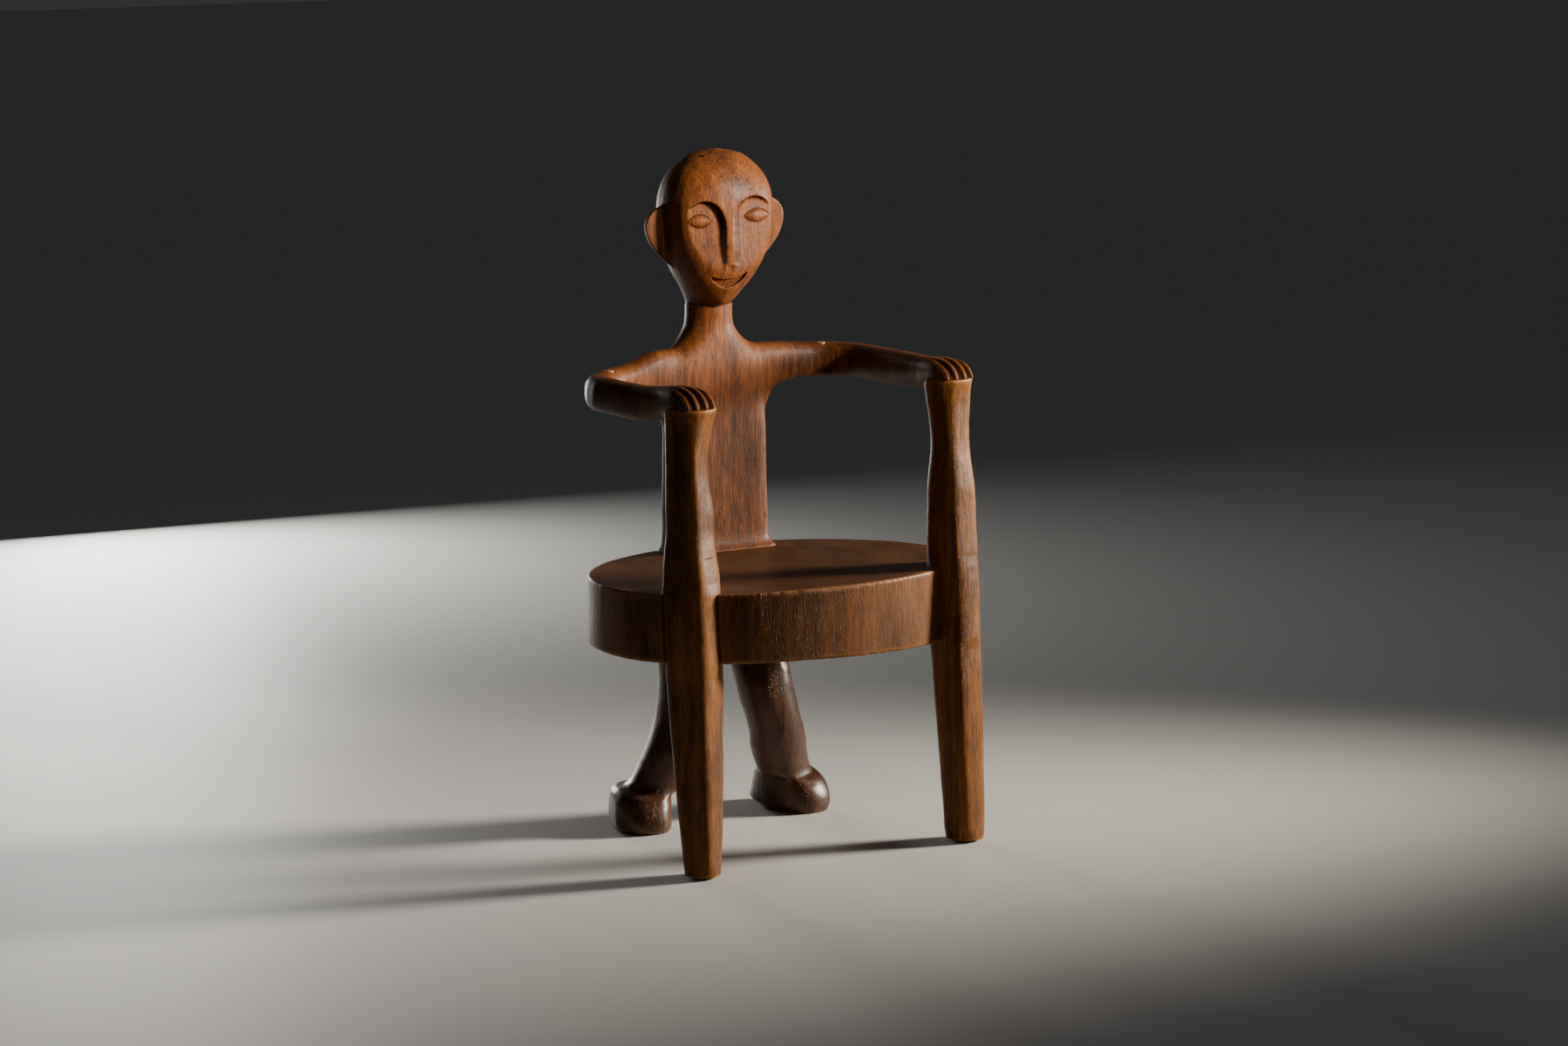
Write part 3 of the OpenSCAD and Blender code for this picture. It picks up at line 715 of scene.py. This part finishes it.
# %% [markdown]
# ## Brow, nose and eye hollows
# One tool cuts one hollow. It starts as a filled ring that is bent to the line of the brow, the
# nose and the cheek. The ring is extruded back to the hollow's floor, where it is narrower, so
# beside the nose and under the brow a sloping bank is left.

# %% Lines of the brow, the bank and the cheek
BROW_RIGHT = [
    (-56, 152), (-47, 158), (-38, 159), (-30, 157.5), (-24, 154.5), (-18.5, 149.5), (-14, 143),
    (-10.5, 136), (-8.3, 129), (-6.8, 118), (-6.3, 108), (-5.2, 92), (-4, 76), (-2.5, 63),
]
BANK_RIGHT = [
    (-56, 151), (-47, 155), (-38, 155.5), (-31, 154), (-26.5, 151), (-22.5, 146.5), (-19, 141),
    (-17, 134), (-16, 127), (-15.6, 117), (-15.4, 107), (-15, 92), (-13.5, 76), (-9, 62),
]
CHEEK_RIGHT = [(-14, 52), (-34, 54), (-52, 68), (-64, 88), (-71, 112), (-71, 140)]
BROW_LEFT = [
    (61, 157), (50, 163), (39, 165), (30, 164.5), (23, 162), (16.5, 158), (11.5, 153),
    (7, 147), (4, 140), (2.3, 129), (2.2, 115), (2.8, 98), (3.5, 80), (4.2, 65),
]
BANK_LEFT = [
    (61, 155.5), (50.5, 160), (40, 161), (32, 159.5), (26.5, 156), (22.5, 151), (20, 145.5),
    (19.5, 140), (19.5, 134), (20, 122), (20.4, 110), (20.6, 95), (19, 80), (12, 66),
]
CHEEK_LEFT = [(14, 53), (34, 56), (52, 69), (66, 92), (75, 118), (75, 146)]
print("points on a hollow's edge:", len(BROW_RIGHT + CHEEK_RIGHT), "and", len(BROW_LEFT + CHEEK_LEFT))

# %% Cut the hollows
BEFORE_FACE = -97


def two_rings(name, front, back):
    """A closed tool between two rings of places on the head, the first one in front."""
    bpy.ops.mesh.primitive_circle_add(vertices=len(front), radius=1, fill_type="NGON")
    tool = bpy.context.object
    tool.name = name
    tool.location = (0, 0, 0)
    for vertex, place in zip(tool.data.vertices, front):
        vertex.co = on_head(*place)
    bpy.ops.object.mode_set(mode="EDIT")
    bpy.ops.mesh.select_all(action="SELECT")
    bpy.ops.mesh.extrude_region_move()
    bpy.ops.object.mode_set(mode="OBJECT")
    moved = [vertex for vertex in tool.data.vertices if vertex.select]
    for vertex, place in zip(sorted(moved, key=lambda v: v.index), back):
        vertex.co = on_head(*place)
    bpy.ops.object.mode_set(mode="EDIT")
    bpy.ops.mesh.select_all(action="SELECT")
    bpy.ops.mesh.quads_convert_to_tris()
    bpy.ops.object.mode_set(mode="OBJECT")
    return closed()


def hollow_floor(x, up):
    """The flat floor of an eye hollow: it turns a little outwards and a little up."""
    return -76 + 0.1032 * (abs(x) - 10) + 0.0619 * (up - 100)


def eye_hollow(name, brow, bank, cheek):
    """The tool for one hollow. Its bank runs on out in front of the face."""
    front, back = [], []
    for edge, foot in zip(brow + cheek, bank + cheek):
        surface, floor_y = face_depth(*edge), hollow_floor(*foot)
        share = (surface - BEFORE_FACE) / max(4, floor_y - surface)
        lean = [(e - f) * share for e, f in zip(edge, foot)]
        front.append((edge[0] + lean[0], BEFORE_FACE, edge[1] + lean[1]))
        back.append((foot[0], floor_y, foot[1]))
    return two_rings(name, front, back)


hollows = [
    eye_hollow("right hollow", BROW_RIGHT, BANK_RIGHT, CHEEK_RIGHT),
    eye_hollow("left hollow", BROW_LEFT, BANK_LEFT, CHEEK_LEFT),
]
before = sum(face.area for face in head.data.polygons)
carve(head, *hollows)
fine_skin(head, 1.2 * MM)
print("skin of the head grows by", round(sum(f.area for f in head.data.polygons) - before, 5), "m2")


# %% [markdown]
# ## Cheeks and floors
# Below the nose the hollows run out softly over the jaw, so the cheeks are sanded well there. The
# floors of the hollows stay flat, with the fine ripple that a small gouge leaves.


# %% Cheeks and floors
def cheek_free(p):
    """Free where the hollows run out over the jaw, true at the nose and above."""
    place = from_head(p)
    low = unit((100 - place.z) / 25) * unit((place.z - 8) / 6)
    run_out = 0.6 * max(0, 80 - place.z) if place.x > 6 else 0
    beside = unit((abs(place.x - 1) - 17 + run_out) / 8)
    under = unit((64 - place.z) / 4)
    front = 1 if place.y < 0 else 0
    return low * max(beside, under) * front


def floor_free(p):
    """Free on the flat floors of the hollows only."""
    place = from_head(p)
    off = abs(place.y - hollow_floor(place.x, place.z))
    return unit(1.6 - off) * unit((place.z - 52) / 10)


sand(head, 60, cheek_free)
uneven(head, 0.006, 0.6 * MM, floor_free)
print("points on the hollows' floors:", sum(1 for v in head.data.vertices if floor_free(v.co) > 0))

# %% [markdown]
# ## Mouth and nose
# The mouth is cut square and deep, with two sharp corners. Its tool starts well in front of the
# face, so that the cut is clean. A small wedge undercuts the end of the nose.

# %% Mouth and nose
FRONT = 9
MOUTH_TOP = [(-29, 48), (-19, 44.6), (-9, 43), (0, 43), (11, 44.6), (22, 48.2), (32.5, 53)]
MOUTH_LOW = [(26, 43), (18, 35.5), (8, 31), (-2, 29.4), (-12, 32), (-21.5, 39)]
MOUTH_DEEP = 7.0
mouth_ring = MOUTH_TOP + MOUTH_LOW
mouth = two_rings(
    "mouth tool",
    [(x, face_depth(x, up) - FRONT, up) for x, up in mouth_ring],
    [(x, face_depth(x, up) + MOUTH_DEEP, up) for x, up in mouth_ring],
)
carve(head, mouth)

nose_cut = two_rings(
    "under the nose",
    [(-4, -95, 64), (5.5, -95, 65), (5.5, -95, 40), (-4, -95, 39)],
    [(-4, face_depth(-2, 62) + 1.5, 62.5), (5.5, face_depth(4, 62) + 1.5, 63.5),
     (4.5, face_depth(4, 48) - 0.5, 48), (-3, face_depth(-2, 48) - 0.5, 48)],
)
carve(head, nose_cut)
print("mouth:", len(mouth_ring), "points on its edge,", MOUTH_DEEP, "mm deep")

# %% [markdown]
# ## Eyes
# Each eye is a ball drawn out to two points, as an almond has, and sunk to half its thickness in
# the hollow's floor. A thin tube along its edge cuts the line of the lid. An eye is given by its
# place, its half width and half height, and the angle by which it is turned.

# %% Eyes
EYES = [(-44.5, 129, 18, 9, 0), (46.5, 135, 20, 9.2, 3)]
EYE_PROUD = 5.5
LID_STEPS = 15
LID_REACH = 1.04
LID_KNIFE = 1.3


def rolled(along, over, roll):
    """An offset from an eye's middle, turned with the eye."""
    tilt = math.radians(roll)
    across = along * math.cos(tilt) - over * math.sin(tilt)
    return across, along * math.sin(tilt) + over * math.cos(tilt)


def almond(x, up, half_w, half_h, roll):
    """An eye: a ball with its poles at the corners, drawn out to points and laid on the floor."""
    bpy.ops.mesh.primitive_uv_sphere_add(segments=32, ring_count=24, radius=1)
    eye = bpy.context.object
    eye.name = "eye"
    for vertex in eye.data.vertices:
        along = vertex.co.z
        pinch = (1 - along * along) ** 0.35 if abs(along) < 1 else 0
        dx, dup = rolled(along * half_w, vertex.co.y * pinch * half_h, roll)
        out = vertex.co.x * pinch * EYE_PROUD
        vertex.co = on_head(x + dx, hollow_floor(x + dx, up + dup) + out, up + dup)
    return closed()


def lid_line(x, up, half_w, half_h, roll):
    """The knife for the thin groove over an eye, thickest in its middle."""
    points, radii = [], []
    half = (LID_STEPS - 1) / 2
    for step in range(LID_STEPS):
        t = -LID_REACH + 2 * LID_REACH * step / (LID_STEPS - 1)
        dx, dup = rolled(t * half_w, (1 - min(1, t * t)) ** 0.85 * half_h + 0.6, roll)
        points.append(on_head(x + dx, hollow_floor(x + dx, up + dup) - 0.2, up + dup))
        radii.append(LID_KNIFE * MM * (1 - 0.5 * abs(step - half) / half))
    return tube("lid knife", points, radii)


carve(head, *[almond(*eye) for eye in EYES], way="UNION")
fine_skin(head, 0.95 * MM)
sand(head, 6, lambda p: (from_head(p).z - 0.5) / 4)
carve(head, *[lid_line(*eye) for eye in EYES])
lighten(head, 185000)
saw(head, Vector((0, 0, NECK_TOP)), Vector((0, 0, -1)))
print("eyes and lids:", len(head.data.vertices), "points in the head's skin")


# %% [markdown]
# ## Painted shade on the face
# The banks beside the nose and under the brow are given nearly black painted shade, and so is the
# line round each eye. How far a point lies on the way down from the face to the hollow's floor
# tells whether it is on a bank. The left side of the face gets less painted shade.


# %% Mark the painted shade
# How dark the painted shade is on the eyes' lines and on the face's left side.
LID_SHADE = 0.85
LEFT_SHADE = 0.55


def by_eye(place):
    """True on an eye and close round it."""
    return any(
        ((place.x - x) / (half_w * 1.1)) ** 2 + ((place.z - up) / (half_h * 1.3)) ** 2 < 1
        for x, up, half_w, half_h, _ in EYES
    )


def on_lid(place):
    """1 on the edge of an eye, and 0 from about two millimetres away."""
    near = 0
    for x, up, half_w, half_h, _ in EYES:
        t = (place.x - x) / half_w
        if abs(t) < 1.06:
            gap = abs(place.z - up) - half_h * max(0, 1 - t * t) ** 0.85
            near = max(near, 1 - abs(gap - 0.5) / 1.5)
    return near


def on_bank(place):
    """1 on a bank beside the nose or under the brow, and 0 on the face and on the floors."""
    by_nose = abs(place.x - 1) < 24 and place.z > 66
    by_brow = abs(place.x) < 60 and 126 < place.z < 172
    if by_eye(place) or not (by_nose or by_brow):
        return 0
    cut = place.y - face_depth(place.x, place.z)
    over_floor = hollow_floor(place.x, place.z) - place.y
    down = cut / max(2.0, cut + over_floor)
    return min(1, max(0, (down - 0.05) / 0.12), max(0, (0.98 - down) / 0.10))


# Painted shade for the face's banks and the line round each eye, stored on each point.
banks = head.data.attributes.new("painted face shade", "FLOAT", "POINT")
for vertex, shade_share in zip(head.data.vertices, banks.data):
    place = from_head(vertex.co)
    if place.y <= -40:
        most = 1 if place.x < 0 else LEFT_SHADE
        shade_share.value = max(LID_SHADE * on_lid(place), most * on_bank(place))
print("points on the banks:", sum(1 for shade_share in banks.data if shade_share.value > 0.5))
finish_piece(head, "red_wood", "head")

# %% [markdown]
# ## Wood, as a node group
# All the wood of the chair is the same kind: fine upright grain, slow light and dark bands, and
# short dark pores. One node group makes these from the place in the room, stretched upwards, so
# faces across the grain show end grain by themselves. It puts out a tone, a pore mask, a height
# and a slow cloud, and each material gives them its own colours and gloss.


# %% Node helpers
def new_group(name, inputs, outputs):
    """An empty node group with named sockets. Each input is (name, kind, value)."""
    group = bpy.data.node_groups.new(name, "ShaderNodeTree")
    for socket, kind, value in inputs:
        made = group.interface.new_socket(socket, in_out="INPUT", socket_type="NodeSocket" + kind)
        if value is not None:
            made.default_value = value
    for socket, kind in outputs:
        group.interface.new_socket(socket, in_out="OUTPUT", socket_type="NodeSocket" + kind)
    return group, group.nodes.new("NodeGroupInput"), group.nodes.new("NodeGroupOutput")


def node(tree, kind, settings=None, **wires):
    """Add a node. A setting with an underscore name is a property; wires name its sockets."""
    made = tree.nodes.new("ShaderNode" + kind)
    for key, value in (settings or {}).items():
        setattr(made, key, value)
    for key, value in wires.items():
        socket = made.inputs[int(key[1:]) if key[1:].isdigit() else key.replace("_", " ")]
        if isinstance(value, bpy.types.NodeSocket):
            tree.links.new(value, socket)
        else:
            socket.default_value = value
    return made


def maths(tree, operation, a, b=0.0, c=0.0, clamp=False):
    """One sum on values or sockets."""
    return node(tree, "Math", {"operation": operation, "use_clamp": clamp}, i0=a, i1=b, i2=c).outputs[0]


def ranged(tree, value, low, high, to_low=0.0, to_high=1.0):
    """Stretch a value from one range to another and clamp it."""
    made = node(
        tree, "MapRange", {"interpolation_type": "SMOOTHSTEP"},
        Value=value, From_Min=low, From_Max=high, To_Min=to_low, To_Max=to_high,
    )
    return made.outputs["Result"]


def vector(tree, operation, a, b=(0, 0, 0)):
    """One sum on places."""
    made = node(tree, "VectorMath", {"operation": operation}, i0=a, i1=b)
    return made.outputs["Value" if operation in ("DISTANCE", "LENGTH") else "Vector"]


def noise(tree, place, stretch, scale, detail, rough=0.55):
    """Noise on a place that is first stretched."""
    return node(
        tree, "TexNoise", None, Vector=vector(tree, "MULTIPLY", place, stretch),
        Scale=scale, Detail=detail, Roughness=rough,
    )


# %% The wood group
wood, wood_in, wood_out = new_group(
    "carved hardwood",
    [("Place", "Vector", None), ("Grain length", "Float", 0.05)],
    [("Tone", "Float"), ("Pore", "Float"), ("Height", "Float"), ("Cloud", "Float")],
)
GREY = (0.5, 0.5, 0.5)
place = wood_in.outputs["Place"]
lengthen = node(wood, "CombineXYZ", None, X=1.0, Y=1.0, Z=wood_in.outputs["Grain length"]).outputs[0]
sway = vector(wood, "SUBTRACT", noise(wood, place, (1, 1, 0.35), 5.0, 2.0).outputs["Color"], GREY)
bent = vector(wood, "ADD", place, vector(wood, "MULTIPLY", sway, (0.05, 0.05, 0.02)))
heart = vector(wood, "MULTIPLY", bent, (1.0, 1.0, 0.05))
from_heart = vector(wood, "DISTANCE", heart, (0.02, 0.10, 0.0))
rings = maths(wood, "SINE", maths(wood, "MULTIPLY", from_heart, 520.0))
fine_rings = maths(wood, "SINE", maths(wood, "MULTIPLY", from_heart, 1370.0))
clouds = noise(wood, place, (1, 1, 0.45), 10.0, 4.0, 0.55)
streaks = noise(wood, bent, lengthen, 75.0, 5.0, 0.6)
threads = noise(wood, bent, lengthen, 620.0, 2.0, 0.5)
tone = maths(wood, "MULTIPLY", rings, 0.05)
tone = maths(wood, "MULTIPLY_ADD", fine_rings, 0.03, tone)
for pattern, weight in ((clouds, 1.35), (streaks, 0.8), (threads, 1.15)):
    centred = maths(wood, "SUBTRACT", pattern.outputs["Fac"], 0.5)
    tone = maths(wood, "MULTIPLY_ADD", centred, weight, tone)
tone = maths(wood, "ADD", tone, 0.5, clamp=True)


def dashes(size, stretch, often):
    """Short dark dashes along the grain. often runs from 0, none, to 1."""
    cells = node(
        wood, "TexVoronoi", {"feature": "F1", "distance": "EUCLIDEAN"},
        Vector=vector(wood, "MULTIPLY", bent, (1, 1, stretch)), Scale=size, Randomness=1.0,
    )
    chance = noise(wood, bent, (1, 1, stretch), size * 0.27, 1.0)
    return maths(
        wood, "MULTIPLY",
        ranged(wood, cells.outputs["Distance"], 0.34, 0.14),
        ranged(wood, chance.outputs["Fac"], 0.70 - 0.3 * often, 0.82 - 0.3 * often),
    )


pore = maths(wood, "MULTIPLY", dashes(780.0, 0.11, 0.95), 0.7)
pore = maths(wood, "MAXIMUM", pore, dashes(360.0, 0.16, 0.34))
height = maths(wood, "MULTIPLY_ADD", threads.outputs["Fac"], 0.5, maths(wood, "MULTIPLY", pore, -0.8))
height = maths(wood, "MULTIPLY_ADD", streaks.outputs["Fac"], 0.5, height)
results = {"Tone": tone, "Pore": pore, "Height": height, "Cloud": clouds.outputs["Fac"]}
for name, socket in results.items():
    wood.links.new(socket, wood_out.inputs[name])
print("wood group:", len(wood.nodes), "nodes")

# %% [markdown]
# ## Checks in the wood
# As a trunk dries it opens in thin dark splits along the grain. One small group makes one split:
# it is a long narrow spot round a given place, and a little noise makes its edges wander.

# %% The check group
check, check_in, check_out = new_group(
    "drying check",
    [("Place", "Vector", None), ("Middle", "Vector", None), ("Reach", "Vector", None)],
    [("Mask", "Float")],
)
here = check_in.outputs["Place"]
wander = vector(check, "SUBTRACT", noise(check, here, (1, 1, 1), 60.0, 2.0).outputs["Color"], GREY)
moved = vector(check, "ADD", here, vector(check, "MULTIPLY", wander, (0.003, 0.003, 0.003)))
away = vector(check, "SUBTRACT", moved, check_in.outputs["Middle"])
far = vector(check, "LENGTH", vector(check, "DIVIDE", away, check_in.outputs["Reach"]))
check.links.new(ranged(check, far, 1.0, 0.55), check_out.inputs["Mask"])
print("check group:", len(check.nodes), "nodes")


# %% [markdown]
# ## The wood materials
# Each part of the chair has its own shade of the same wood. Thin wax leaves a satin coat, so the
# surface has one broad gloss from the wood and one sharper from the coat. Hands rub the edges
# lighter, and the cuts get painted shade: the relief noted on each point tells which is which.
# The seat's top is cut across the grain, where wood drinks more stain.


# %% Helpers for materials
def mixed(tree, share, first, second):
    """Blend two colours by a mask."""
    return node(tree, "Mix", {"data_type": "RGBA"}, Factor=share, i6=first, i7=second).outputs[2]


def tinted(colour, red, green, blue):
    """A colour with each of its parts multiplied."""
    return (colour[0] * red, colour[1] * green, colour[2] * blue, 1)


def placed(tree, group, where):
    """Place a shared node group in the tree and tell it the place in the room."""
    made = tree.nodes.new("ShaderNodeGroup")
    made.node_tree = group
    tree.links.new(where, made.inputs["Place"])
    return made


def grain_colour(tree, tone, deep, dark, light, pale):
    """The wood's colour at this tone, from the darkest streak to the lightest."""
    ramp = node(tree, "ValToRGB", None, Fac=tone)
    steps = ramp.color_ramp
    steps.elements[0].position, steps.elements[0].color = 0.08, (*deep, 1)
    steps.elements[1].position, steps.elements[1].color = 0.95, (*pale, 1)
    steps.elements.new(0.38).color = (*dark, 1)
    steps.elements.new(0.64).color = (*light, 1)
    return ramp.outputs["Color"]


def dark_marks(tree, grain, where, checks):
    """A mask of the pores and of the checks, each given by its middle and its reach."""
    mask = maths(tree, "MULTIPLY", grain.outputs["Pore"], 0.60)
    for middle, reach in checks:
        spot = placed(tree, check, where)
        spot.inputs["Middle"].default_value = middle
        spot.inputs["Reach"].default_value = reach
        mask = maths(tree, "MAXIMUM", mask, spot.outputs["Mask"])
    return mask


def wear_and_shade(tree):
    """Two masks from the carving: where hands rub the wood, and painted shade in hollows and on the face.
    """
    relief = node(tree, "Attribute", {"attribute_name": "relief"}).outputs["Fac"]
    rubbed = ranged(tree, relief, 0.06, 0.40, 0.0, 0.50)
    # Painted shade: the deeper a point lies in a hollow or cut, the darker its colour is made.
    painted_shade = ranged(tree, relief, -0.05, -0.45, 0.0, 0.80)
    face_shade = node(tree, "Attribute", {"attribute_name": "painted face shade"}).outputs["Fac"]
    return rubbed, maths(tree, "MAXIMUM", painted_shade, maths(tree, "MULTIPLY", face_shade, 0.80))


# %% A wood material
def wood_material(name, deep, dark, light, pale, rough, coat, checks=(), thirsty=0.0, wet=0.25):
    """A waxed wood. Its four colours run from the darkest streak to the lightest."""
    material = bpy.data.materials.new(name)
    material.use_nodes = True
    tree = material.node_tree
    shader = tree.nodes["Principled BSDF"]
    where = node(tree, "TexCoord").outputs["Object"]
    grain = placed(tree, wood, where)
    marks = dark_marks(tree, grain, where, checks)
    rubbed, painted_shade = wear_and_shade(tree)
    marks_and_shade = maths(tree, "MAXIMUM", marks, painted_shade)
    facing = node(tree, "SeparateXYZ", None, i0=node(tree, "NewGeometry").outputs["Normal"])
    ends = ranged(tree, facing.outputs["Z"], 0.70, 0.97, 0.0, thirsty)
    colour = grain_colour(tree, grain.outputs["Tone"], deep, dark, light, pale)
    colour = mixed(tree, ends, colour, tinted(deep, 1.1, 1.2, 1.5))
    colour = mixed(tree, rubbed, colour, tinted(pale, 1.25, 1.35, 1.6))
    # Pores and checks are darkened, and painted shade darkens the hollows and the face's banks.
    colour = mixed(tree, marks_and_shade, colour, tinted(deep, 0.2, 0.2, 0.2))
    tree.links.new(colour, shader.inputs["Base Color"])
    cloud = maths(tree, "SUBTRACT", grain.outputs["Cloud"], 0.5)
    gloss = maths(tree, "MULTIPLY_ADD", cloud, 0.30, rough)
    gloss = maths(tree, "MULTIPLY_ADD", marks_and_shade, 0.3, gloss, clamp=True)
    tree.links.new(gloss, shader.inputs["Roughness"])
    coat_kept = maths(tree, "SUBTRACT", 1.0, maths(tree, "MULTIPLY", marks_and_shade, 0.9))
    tree.links.new(maths(tree, "MULTIPLY", coat_kept, coat), shader.inputs["Coat Weight"])
    heights = maths(tree, "MULTIPLY_ADD", marks, -1.0, grain.outputs["Height"])
    bump = node(tree, "Bump", None, Strength=0.7, Distance=0.0011, Height=heights)
    tree.links.new(bump.outputs["Normal"], shader.inputs["Normal"])
    shader.inputs["Coat Roughness"].default_value = 0.34
    shader.inputs["Specular IOR Level"].default_value = wet
    return material


# %% The five woods
HEAD_CHECKS = [
    ((0.0015, 0.091, 0.976), (0.0006, 0.02, 0.012)), ((-0.032, 0.125, 0.9913), (0.004, 0.012, 0.002)),
]
POST_CHECKS = [
    ((0.2235, -0.205, 0.395), (0.0008, 0.02, 0.030)), ((0.2215, -0.207, 0.330), (0.0007, 0.02, 0.035)),
    ((0.2185, -0.210, 0.285), (0.0009, 0.02, 0.020)), ((0.2220, -0.190, 0.600), (0.0005, 0.02, 0.028)),
    ((0.2255, -0.193, 0.530), (0.0005, 0.02, 0.022)), ((0.2140, -0.207, 0.2895), (0.016, 0.02, 0.0006)),
    ((-0.2070, -0.194, 0.456), (0.013, 0.02, 0.0008)),
]
SEAT_CHECKS = [
    ((-0.1727, -0.208, 0.397), (0.0009, 0.012, 0.013)), ((-0.0677, -0.225, 0.388), (0.0009, 0.012, 0.018)),
    ((0.1150, -0.210, 0.398), (0.0007, 0.010, 0.008)),
]
LEG_CHECKS = [
    ((0.0715, 0.0644, 0.196), (0.0011, 0.02, 0.007)), ((0.0755, 0.0644, 0.201), (0.0008, 0.02, 0.005)),
    ((-0.1490, 0.0600, 0.033), (0.0011, 0.02, 0.006)), ((-0.1450, 0.0630, 0.042), (0.0011, 0.02, 0.006)),
]
red_wood = wood_material(
    "waxed red-brown wood", (0.020, 0.005, 0.0008), (0.060, 0.0162, 0.0027), (0.122, 0.034, 0.0056),
    (0.198, 0.0575, 0.0098), 0.55, 0.06, HEAD_CHECKS, wet=0.15,
)
post_wood = wood_material(
    "waxed honey-brown wood", (0.034, 0.011, 0.0012), (0.100, 0.033, 0.0038), (0.190, 0.063, 0.0070),
    (0.300, 0.104, 0.0110), 0.50, 0.08, POST_CHECKS, wet=0.15,
)
seat_wood = wood_material(
    "waxed seat wood", (0.030, 0.0102, 0.0021), (0.085, 0.0288, 0.0058), (0.142, 0.0482, 0.0095),
    (0.216, 0.0730, 0.0130), 0.48, 0.10, SEAT_CHECKS, 0.60, 0.18,
)
leg_wood = wood_material(
    "waxed dark wood", (0.013, 0.0038, 0.0008), (0.040, 0.012, 0.0022), (0.076, 0.0235, 0.0042),
    (0.125, 0.040, 0.0072), 0.36, 0.32, LEG_CHECKS,
)
dowel_wood = wood_material(
    "bare pale wood", (0.330, 0.210, 0.110), (0.450, 0.310, 0.170), (0.560, 0.400, 0.230),
    (0.640, 0.480, 0.300), 0.60, 0.05,
)
print("woods:", [m.name for m in (red_wood, post_wood, seat_wood, leg_wood, dowel_wood)])

# %% [markdown]
# ## Felt pads
# A dark felt pad is glued under each post. Felt is a mat of fine hairs, so it gets a soft bump and
# hardly any gloss.

# %% Felt and floor
felt = bpy.data.materials.new("dark felt")
felt.use_nodes = True
felt_tree = felt.node_tree
felt_place = node(felt_tree, "TexCoord").outputs["Object"]
hairs = noise(felt_tree, felt_place, (1, 1, 1), 900.0, 4.0, 0.7)
shade = node(felt_tree, "ValToRGB", None, Fac=hairs.outputs["Fac"])
shade.color_ramp.elements[0].color = (0.010, 0.009, 0.008, 1)
shade.color_ramp.elements[1].color = (0.050, 0.046, 0.042, 1)
felt_shader = felt_tree.nodes["Principled BSDF"]
felt_tree.links.new(shade.outputs["Color"], felt_shader.inputs["Base Color"])
felt_bump = node(felt_tree, "Bump", None, Strength=0.6, Distance=0.0005, Height=hairs.outputs["Fac"])
felt_tree.links.new(felt_bump.outputs["Normal"], felt_shader.inputs["Normal"])
felt_shader.inputs["Roughness"].default_value = 0.95
felt_shader.inputs["Sheen Weight"].default_value = 0.3

plaster = bpy.data.materials.new("pale studio floor")
plaster.use_nodes = True
plaster_shader = plaster.node_tree.nodes["Principled BSDF"]
plaster_shader.inputs["Base Color"].default_value = (0.62, 0.62, 0.61, 1)
plaster_shader.inputs["Roughness"].default_value = 0.55
floor.data.materials.append(plaster)

# %% [markdown]
# ## Giving each piece its wood
# New pieces get one material each. The plain solids that stay, which are the pegs, pins, dowels
# and pads, get theirs in their own material slots.

# %% Assign the materials
FINISHES = {
    "red_wood": red_wood, "post_wood": post_wood, "seat_wood": seat_wood, "leg_wood": leg_wood,
    "dowel_wood": dowel_wood, "glide_pad": felt,
}
DRESSED = {
    "carved_torso": "red_wood", "carved_head": "red_wood", "carved_arm_right": "red_wood",
    "carved_arm_left": "red_wood", "carved_post_right": "post_wood", "carved_post_left": "post_wood",
    "thick_seat": "seat_wood", "carved_leg_right": "leg_wood", "carved_leg_left": "leg_wood",
}
for name, slot in DRESSED.items():
    piece = bpy.data.objects[name]
    piece.data.materials.clear()
    piece.data.materials.append(FINISHES[slot])
for row in frame["record"]["subparts"]:
    solid = solids[row["node"]]
    for slot in solid.material_slots:
        slot.material = FINISHES[row["material_slot"]]
